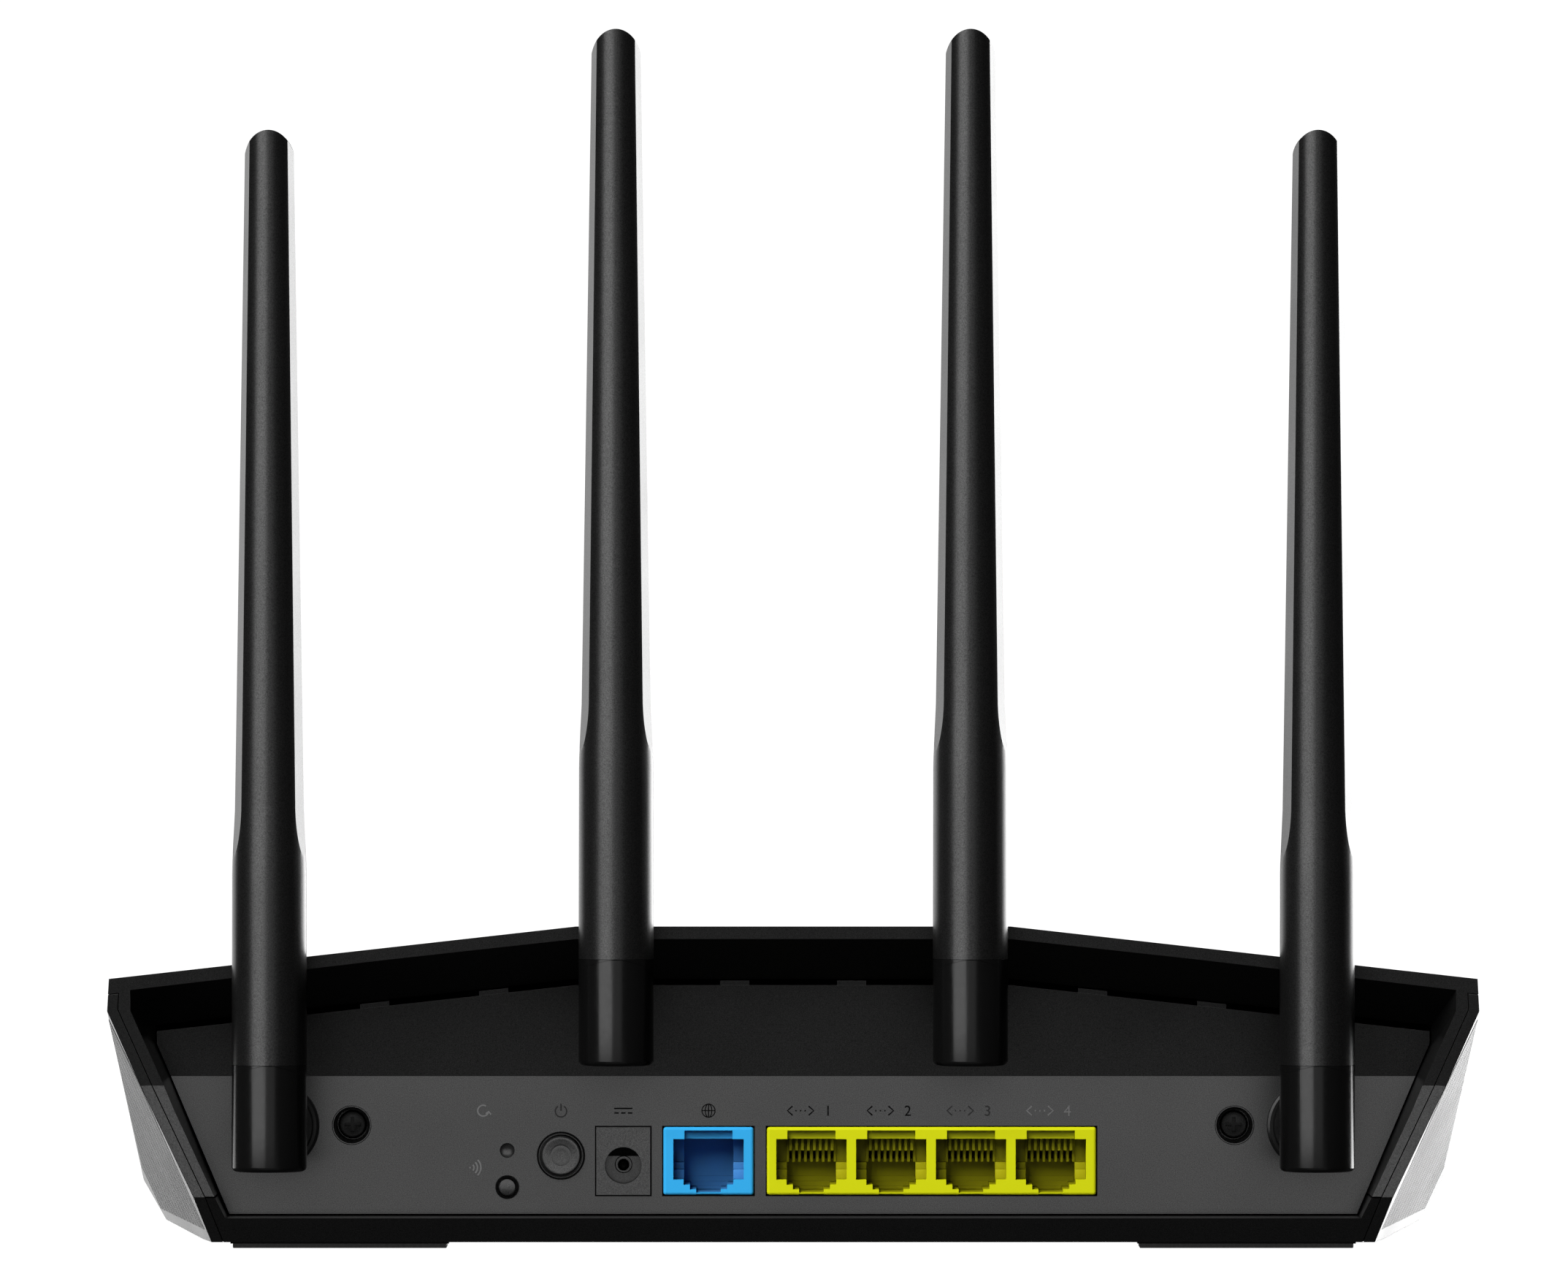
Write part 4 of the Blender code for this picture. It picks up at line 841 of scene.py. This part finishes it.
def make_power_jack():
    """The jack's block: a round well, deeper along its top, with a bore round the centre pin. The dark
    well floor, the black sheet in the deep top, the black sleeve in the bore and the near-black pin are
    painted shade.
    """
    low_corner, high_corner = low("dc_jack"), high("dc_jack")
    x, z, face = middle("dc_jack").x, middle("dc_jack_pin").z, low_corner.y
    grow = Vector((0.06, 0, 0.06))
    block = box(low_corner - grow, high_corner + grow, 0.12, 2)
    well_outline = [(0, 0), (0, WELL_RADIUS), (5.0, WELL_RADIUS), (5.0, 0)]
    well = turned((x, face - 1, z), (0, 1, 0), well_outline, 96)
    top_outline = [(0, 0), (0, WELL_RADIUS), (11.0, WELL_RADIUS), (11.0, 0)]
    top = solid(
        turned((x, face - 1, z), (0, 1, 0), top_outline, 96),
        cuts=(box((x - 5, face - 5, z - 5), (x + 5, face + 20, z + WELL_STEP_UP)),),
    )
    bore_outline = [(0, 0), (0, BORE_RADIUS), (11.0, BORE_RADIUS), (11.0, 0)]
    bore = turned((x, face, z), (0, 1, 0), bore_outline, 64)
    bm = solid(block, cuts=(well, top, bore))
    piece("power_jack", bm, FINISH["jack"], "housing", ["dc_jack"], bevel=0.04)
    # Painted shade in the well: a darker, duller floor below the step and a near-black sheet across the
    # deeper top.
    step_up, inside = WELL_STEP_UP - 0.05, WELL_RADIUS - 0.01
    floor = [(3.9, 1.5), (3.9, inside), (4.02, inside), (4.02, 1.5), (3.9, 1.5)]
    bm = solid(
        turned((x, face, z), (0, 1, 0), floor, 96),
        cuts=(box((x - 5, face, z + step_up), (x + 5, face + 9, z + 5)),),
    )
    piece("jack_floor", bm, FINISH["jack_floor"], "housing")
    shade = solid(
        turned((x, face, z), (0, 1, 0), [(3.85, 0.0), (3.85, inside), (4.02, inside), (4.02, 0.0)], 96),
        cuts=(box((x - 5, face, z - 5), (x + 5, face + 9, z + step_up)),),
    )
    piece("jack_shade", shade, FINISH["hollow"], "housing")
    # Painted shade: a near-black sleeve down the bore.
    lining = [(3.85, 1.54), (3.85, 1.4), (10.8, 1.4), (10.8, 1.54), (3.85, 1.54)]
    bm = turned((x, face, z), (0, 1, 0), lining, 64)
    piece("jack_bore_shade", bm, FINISH["hollow"], "housing")
    # The pin's near-black metal is painted shade of the deep bore.
    start, end = low("dc_jack_pin").y, high("dc_jack_pin").y
    profile = [(0.0, 0.0), (0.03, 0.3), (0.15, 0.6), (0.4, 0.85), (0.75, 1.0)]
    profile += [(end - start, 1.0), (end - start, 0.0)]
    bm = turned((x, start, z), (0, 1, 0), profile, 48)
    piece("jack_centre_pin", bm, FINISH["pin"], "housing", ["dc_jack_pin"])


def make_screws():
    """Cross-head screws deep in their recesses, with a lip where each recess narrows, and a near-black
    sleeve in each recess that is painted shade.
    """
    for side in SIDES:
        node = f"case_screw_{side}"
        x, _, z = middle(node)
        face = low(node).y
        head = [(0.35, 0.0), (0.3, 0.9), (0.12, 1.7), (0.2, 2.2), (0.45, 2.45), (0.9, 2.5), (1.8, 2.5)]
        head += [(1.8, 1.3), (12.0, 1.25), (12.8, 0.4), (12.8, 0.0)]
        arms = []
        for wide, tall in ((1.35, 0.32), (0.32, 1.35)):
            arms.append(box((x - wide, face - 1, z - tall), (x + wide, face + 1.1, z + tall)))
        bm = solid(turned((x, face, z), (0, 1, 0), head), cuts=arms)
        piece(f"{side}_screw_head", bm, FINISH["dark_steel"], "housing", [node])
        lip = [(0.3, 3.12), (0.2, 3.2), (0.2, 3.34), (0.28, 3.44), (0.75, 3.44), (0.75, 3.12), (0.3, 3.12)]
        bm = turned((x, PANEL_Y, z), (0, 1, 0), lip, 96)
        piece(f"{side}_recess_lip", bm, FINISH["casing"], "housing")
        # Painted shade: a near-black sleeve down the recess.
        lining = [(0.5, 3.14), (0.5, 2.7), (5.3, 2.7), (5.3, 3.14), (0.5, 3.14)]
        bm = turned((x, PANEL_Y, z), (0, 1, 0), lining, 96)
        piece(f"{side}_recess_shade", bm, FINISH["hollow"], "housing")


# Printed marks: generic symbols and numerals, as thin raised ink

INK_THICKNESS = 0.03
INK_WIDTH = 0.3
MARK_ABOVE_SOCKETS = 1.95


def ink_mark(name, strokes, place, width, finish):
    """Strokes are lists of (across, up) in millimetres, drawn on the upright panel at a place."""
    curve = bpy.data.curves.new(name, "CURVE")
    curve.dimensions = "3D"
    curve.bevel_depth = width / 2
    curve.bevel_resolution = 1
    curve.use_fill_caps = True
    for stroke in strokes:
        spline = curve.splines.new("POLY")
        spline.points.add(len(stroke) - 1)
        for spot, (across, up) in zip(spline.points, stroke):
            spot.co = (across, 0.0, up, 1.0)
    obj = bpy.data.objects.new(name, curve)
    bpy.context.scene.collection.objects.link(obj)
    mesh = evaluated_mesh(obj)
    bpy.data.objects.remove(obj)
    bm = bmesh.new()
    bm.from_mesh(mesh)
    bpy.data.meshes.remove(mesh)
    flatten_onto_panel(bm, place)
    piece(name, bm, FINISH[finish], "housing")


def flatten_onto_panel(bm, place):
    """Thin a mark to the height of ink and move it from the origin to its place on the panel."""
    depths = [vert.co.y for vert in bm.verts]
    span = max(depths) - min(depths)
    for vert in bm.verts:
        vert.co.y *= 2 * INK_THICKNESS / span
        vert.co += Vector((place[0], PANEL_Y, place[1]))


def numeral(name, text, place, size, finish):
    curve = bpy.data.curves.new(name, "FONT")
    curve.body = text
    curve.size = size
    curve.extrude = 0.5
    curve.align_x = "CENTER"
    obj = bpy.data.objects.new(name, curve)
    bpy.context.scene.collection.objects.link(obj)
    mesh = evaluated_mesh(obj)
    bpy.data.objects.remove(obj)
    bm = bmesh.new()
    bm.from_mesh(mesh)
    bpy.data.meshes.remove(mesh)
    bmesh.ops.rotate(bm, matrix=Matrix.Rotation(math.radians(90), 3, "X"), verts=bm.verts)
    flatten_onto_panel(bm, place)
    piece(name, bm, FINISH[finish], "housing")


def make_marks():
    label_z = high("lan_socket_block").z + MARK_ABOVE_SOCKETS
    for i, x in enumerate(LAN_CENTRES_X):
        # The tone of ink given to each mark is painted sheen and shade on one printed grey.
        finish = ("ink_dark", "ink_dark", "ink_half_sheen", "ink_pale")[i]
        left = x - 1.9
        strokes = [
            [(left - 1.4, 1.7), (left - 2.3, 0.9), (left - 1.4, 0.1)],
            [(left + 1.4, 1.7), (left + 2.3, 0.9), (left + 1.4, 0.1)],
        ]
        strokes += [[(left + dot - 0.12, 0.9), (left + dot + 0.12, 0.9)] for dot in (-0.8, 0.0, 0.8)]
        ink_mark(f"lan_mark_{i + 1}", strokes, (0, label_z), INK_WIDTH, finish)
        numeral(f"lan_numeral_{i + 1}", str(i + 1), (x + 2.9, label_z), 2.6, finish)
    globe = [arc((0, 0.9), 1.15, 0, 360, 32), [(-1.15, 0.9), (1.15, 0.9)]]
    globe.append([(0.5 * x, z) for x, z in arc((0, 0.9), 1.15, 0, 360, 32)])
    globe.append([(0, -0.25), (0, 2.05)])
    ink_mark("globe_mark", globe, (WAN_X, label_z), 0.2, "ink_dark")
    jack_x = middle("dc_jack").x
    current = [[(-1.6, 1.3), (1.6, 1.3)]]
    current += [[(x - 0.4, 0.5), (x + 0.4, 0.5)] for x in (-1.2, 0.0, 1.2)]
    ink_mark("current_mark", current, (jack_x, label_z), INK_WIDTH, "ink_dark")
    power_x = middle("power_button").x
    power = [arc((0, 0.8), 1.0, 120, 420, 24), [(0, 0.9), (0, 2.1)]]
    ink_mark("power_mark", power, (power_x, label_z), INK_WIDTH, "ink_half_sheen")
    reset = middle("reset_button")
    turn = [arc((0, 0), 0.95, 60, 350, 24), [(0.45, -0.55), (0.95, -0.15), (1.35, -0.65)]]
    ink_mark("reset_mark", turn, (reset.x - 4.2, label_z + 0.9), INK_WIDTH, "ink_pale")
    wps = middle("wps_button")
    waves = [arc((0, 0), radius, -45, 45, 10) for radius in (0.7, 1.3, 1.9)]
    waves.append([(-0.1, 0), (0.1, 0)])
    ink_mark("wireless_mark", waves, (wps.x - 6.5, wps.z + 3.4), INK_WIDTH, "ink_pale")


# Side panels: raised zigzag ribs over the large facets


def side_facet(side):
    """The large outer facet of a side panel: its corners in order, and its outward normal."""
    mesh = frame["nodes"][f"side_panel_{side}"].data
    sign = SIDES[side]
    faces = [p for p in mesh.polygons if p.normal.x * sign > 0.5 and p.normal.z < -0.2]
    largest = max(faces, key=lambda p: p.area)
    normal = largest.normal.copy()
    flat = [p for p in faces if p.normal.dot(normal) > 0.9999]
    points = {tuple(round(c / MM, 3) for c in mesh.vertices[i].co) for p in flat for i in p.vertices}
    centre = sum((Vector(p) for p in points), Vector()) / len(points)
    across = Vector((0, 0, 1)).cross(normal).normalized()
    up = normal.cross(across).normalized()
    ordered = sorted(
        (Vector(p) for p in points),
        key=lambda p: math.atan2((p - centre).dot(up), (p - centre).dot(across)),
    )
    return ordered, normal, across, up, centre


# Ribs repeat up the facet by the pitch, fill a share of it, and turn at each column
RIB_PITCH = 0.34
RIB_SHARE = 0.45
RIB_HEIGHT = 0.06
RIBS_EACH_WAY = 90
COLUMN = 1.6
COLUMNS_EACH_WAY = 23
ZIGZAG_RISE = 0.36
GROOVE_HEIGHT = 0.03
FACET_MARGIN = 0.05
SKIRT_DEPTH = 0.2
# Top edge of the plain strip along the foot of the right side panel
STRIP_REAR = Vector((102.1, -52.5, 3.7))
STRIP_FRONT = Vector((113.4, -4.5, 4.6))


def clip_to_facet(bm, side, corners, normal, centre):
    """Cut a sheet to the facet, a little inside its edges and above the plain strip along its foot,
    and turn the sheet's own edges down into the panel."""
    planes = []
    for a, b in zip(corners, corners[1:] + corners[:1]):
        if (b - a).length > FACET_MARGIN:
            outward = normal.cross(b - a).normalized()
            if outward.dot(centre - a) > 0:
                outward.negate()
            planes.append((a - outward * FACET_MARGIN, outward))
    mirror = Vector((SIDES[side], 1, 1))
    downward = normal.cross((STRIP_FRONT - STRIP_REAR) * mirror).normalized()
    if downward.z > 0:
        downward.negate()
    planes.append((STRIP_REAR * mirror, downward))
    for point, outward in planes:
        bmesh.ops.bisect_plane(
            bm,
            geom=[*bm.verts, *bm.edges, *bm.faces],
            plane_co=point,
            plane_no=outward,
            clear_outer=True,
        )
    border = [edge for edge in bm.edges if edge.is_boundary]
    skirt = bmesh.ops.extrude_edge_only(bm, edges=border)["geom"]
    for vert in (item for item in skirt if isinstance(item, bmesh.types.BMVert)):
        height = (vert.co - centre).dot(normal)
        vert.co -= normal * (height + SKIRT_DEPTH)
    bmesh.ops.recalc_face_normals(bm, faces=bm.faces)


def make_zigzag(side):
    """Fine zigzag ribs on a ground whose darker, duller finish is painted shade in the grooves."""
    corners, normal, across, up, centre = side_facet(side)
    ribs = bmesh.new()
    base = centre + normal * RIB_HEIGHT
    for line in range(-RIBS_EACH_WAY, RIBS_EACH_WAY):
        rows = []
        for share in (0.0, RIB_SHARE):
            row = []
            for column in range(-COLUMNS_EACH_WAY, COLUMNS_EACH_WAY + 1):
                shift = ZIGZAG_RISE * (0.5 if column % 2 else -0.5)
                rise = (line + share) * RIB_PITCH + shift
                row.append(ribs.verts.new(base + across * column * COLUMN + up * rise))
            rows.append(row)
        for i in range(2 * COLUMNS_EACH_WAY):
            ribs.faces.new((rows[0][i], rows[0][i + 1], rows[1][i + 1], rows[1][i]))
    clip_to_facet(ribs, side, corners, normal, centre)
    piece(f"{side}_ribs", ribs, FINISH["textured"], "housing", sharp=20)
    # Painted shade: the darker ground under the ribs.
    ground = bmesh.new()
    base = centre + normal * GROOVE_HEIGHT
    reach = COLUMNS_EACH_WAY * COLUMN
    spots = ((-reach, -reach), (reach, -reach), (reach, reach), (-reach, reach))
    ground.faces.new([ground.verts.new(base + across * x + up * z) for x, z in spots])
    clip_to_facet(ground, side, corners, normal, centre)
    piece(f"{side}_rib_ground", ground, FINISH["groove"], "housing", sharp=20)


# Top and underside details


GUIDE_COUNT = 7


def make_light_guides():
    """Pale light guides in a row, showing through the smoked window."""
    window_low, window_high = low("led_window"), high("led_window")
    span = window_high.x - window_low.x
    slope = math.atan2(high("top_cover").z - window_high.z, window_low.y - low("top_cover").y)
    guides = []
    for i in range(GUIDE_COUNT):
        x = window_low.x + span * (i + 0.5) / GUIDE_COUNT
        guide = box((-0.9, -0.35, -0.15), (0.9, 0.35, 0.06), 0.05)
        bmesh.ops.rotate(guide, matrix=Matrix.Rotation(-slope, 3, "X"), verts=guide.verts)
        middle_y = (window_low.y + window_high.y) / 2
        top_z = window_high.z - (middle_y - window_low.y) * math.tan(slope)
        bmesh.ops.translate(guide, vec=(x, middle_y, top_z), verts=guide.verts)
        guides.append(guide)
    piece("light_guides", joined(guides), FINISH["light"], "housing")


FLOOR_ABOVE_PLINTHS = 0.8
LABEL_CORNERS = ((-30, 38), (30, 62))


def make_blank_label():
    """A plain label on the underside of the tray, between the plinths."""
    z = low("base_tray").z + FLOOR_ABOVE_PLINTHS
    first, last = LABEL_CORNERS
    label = box((*first, z - 0.1), (*last, z + 0.02), 0.04)
    piece("blank_label", label, FINISH["label"], "housing")


# Stage, light and camera

TARGET = Vector((0.0, -0.03, 0.09))
CAMERA_PLACE = (-0.0016, -1.84535, 0.1076)
VIEW_WIDTH_AT_PANEL = 0.2742
VIEW_DISTANCE = 1.8
SENSOR = 36.0


def make_camera():
    data = bpy.data.cameras.new("camera")
    data.sensor_width = SENSOR
    data.lens = SENSOR * VIEW_DISTANCE / VIEW_WIDTH_AT_PANEL
    data.clip_start = 0.1
    data.clip_end = 60.0
    camera = bpy.data.objects.new("camera", data)
    camera.location = CAMERA_PLACE
    camera.rotation_euler = (math.radians(90), 0, 0)
    bpy.context.scene.collection.objects.link(camera)
    bpy.context.scene.camera = camera


def lit_group(name, words, others=False):
    """A collection of the pieces whose names hold one of these words, or of all the others."""
    group = bpy.data.collections.new(name)
    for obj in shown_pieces():
        if any(word in obj.name for word in words) != others:
            group.objects.link(obj)
    return group


def softbox(
    name, azimuth, elevation, distance, size, radiance, diffuse=True, gloss=True, only=None, blockers=None
):
    """A rectangular light.  Azimuth is in degrees to the right of the camera's side, seen from above.
    It can light only some pieces, and only some pieces can block it."""
    turn, lift = math.radians(azimuth), math.radians(elevation)
    direction = Vector((math.sin(turn) * math.cos(lift), -math.cos(turn) * math.cos(lift), math.sin(lift)))
    data = bpy.data.lights.new(name, "AREA")
    data.shape = "RECTANGLE"
    data.size, data.size_y = size
    data.energy = math.pi * size[0] * size[1] * radiance
    lamp = bpy.data.objects.new(name, data)
    lamp.location = TARGET + direction * distance
    lamp.rotation_euler = (-direction).to_track_quat("-Z", "Y").to_euler()
    lamp.visible_camera = False
    lamp.visible_diffuse = diffuse
    lamp.visible_glossy = gloss
    if only:
        lamp.light_linking.receiver_collection = only
    if blockers:
        lamp.light_linking.blocker_collection = blockers
    bpy.context.scene.collection.objects.link(lamp)


COVER_WORDS = ("top_cover", "rear_panel", "side_panel")
SMALL_PART_WORDS = ("power_jack", "jack_floor", "_cap", "plunger", "recess_lip")
ANTENNA_WORDS = ("_blade_skin", "_blade_foot", "_knuckle_skin")
SOCKET_WORDS = ("socket", "_guides", "_comb", "_contacts")


def make_lights():
    """Soft light from the left for the shapes, broad boxes for each kind of sheen, and rim lights."""
    casing = lit_group("casing_lit", COVER_WORDS + SMALL_PART_WORDS)
    antennas = lit_group("antennas_lit", ANTENNA_WORDS)
    all_but_antennas = lit_group("all_but_antennas", ANTENNA_WORDS, others=True)
    sockets = lit_group("sockets_lit", SOCKET_WORDS)
    for obj in sockets.objects:
        obj.visible_glossy = False
    softbox("key_diffuse", -36, 38, 2.2, (1.0, 1.0), 20.0, gloss=False, blockers=all_but_antennas)
    softbox("socket_fill", -13, 19, 2.4, (0.7, 0.7), 9.0, gloss=False, only=sockets)
    softbox("casing_gloss", 0, 11, 2.9, (3.4, 2.0), 2.2, diffuse=False, only=casing)
    softbox("antenna_gloss", -30, 14, 2.6, (1.9, 2.3), 2.3, diffuse=False, only=antennas)
    softbox("antenna_front", 4, 12, 2.9, (1.2, 2.4), 0.4, diffuse=False, only=antennas)
    softbox("back_right", 142, 6, 2.4, (1.9, 1.9), 5.0)
    softbox("back_left", -142, 6, 2.4, (1.9, 1.9), 2.0, only=all_but_antennas)
    softbox("back_left_antennas", -142, 6, 2.4, (1.9, 1.9), 1.3, only=antennas)
    softbox("floor_bounce", 0, -30, 2.4, (2.4, 2.0), 0.07)
    softbox("overhead", 0, 88, 2.4, (2.2, 2.2), 0.5)
    world = bpy.data.worlds.new("studio")
    bpy.context.scene.world = world
    world.use_nodes = True
    background = world.node_tree.nodes["Background"]
    background.inputs["Color"].default_value = (1.0, 1.0, 1.0, 1.0)
    background.inputs["Strength"].default_value = 0.03


def glow_material(name, near, far, albedo):
    """Pale studio surface: mostly glow, which grows from near to far, and a little diffuse shade."""
    material = bpy.data.materials.new(name)
    material.use_nodes = True
    nodes, links = material.node_tree.nodes, material.node_tree.links
    shader = nodes["Principled BSDF"]
    shader.inputs["Base Color"].default_value = (albedo, albedo, albedo, 1.0)
    shader.inputs["Specular IOR Level"].default_value = 0.0
    shader.inputs["Emission Color"].default_value = (1.0, 1.0, 1.0, 1.0)
    place = nodes.new("ShaderNodeNewGeometry").outputs["Position"]
    distance = nodes.new("ShaderNodeVectorMath")
    distance.operation = "LENGTH"
    links.new(place, distance.inputs[0])
    growth = nodes.new("ShaderNodeMapRange")
    growth.inputs["From Min"].default_value = 0.3
    growth.inputs["From Max"].default_value = 1.0
    growth.inputs["To Min"].default_value = near
    growth.inputs["To Max"].default_value = far
    links.new(distance.outputs["Value"], growth.inputs["Value"])
    links.new(growth.outputs["Result"], shader.inputs["Emission Strength"])
    return material


def make_stage():
    """A pale floor and a white dome that only the camera sees, so that neither lights the router."""
    bpy.ops.mesh.primitive_plane_add(size=60)
    floor = bpy.context.object
    floor.name = "floor"
    floor.data.materials.append(glow_material("floor_white", 1.0, 1.05, 0.1))
    bpy.ops.mesh.primitive_uv_sphere_add(segments=48, ring_count=24, radius=28)
    dome = bpy.context.object
    dome.name = "dome"
    dome.data.materials.append(glow_material("dome_white", 1.05, 1.05, 0.0))
    for obj in (floor, dome):
        obj.visible_diffuse = False
        obj.visible_glossy = False
        obj.visible_transmission = False
        obj.visible_shadow = False


bpy.context.scene.view_settings.view_transform = "Standard"
finish_nodes()
for antenna in ANTENNAS:
    make_blade(antenna)
    make_knuckle(antenna)
make_sockets()
make_power_button()
make_wps_button()
make_reset_button()
make_power_jack()
make_screws()
make_marks()
for panel_side in SIDES:
    make_zigzag(panel_side)
make_light_guides()
make_blank_label()
make_camera()
make_lights()
make_stage()
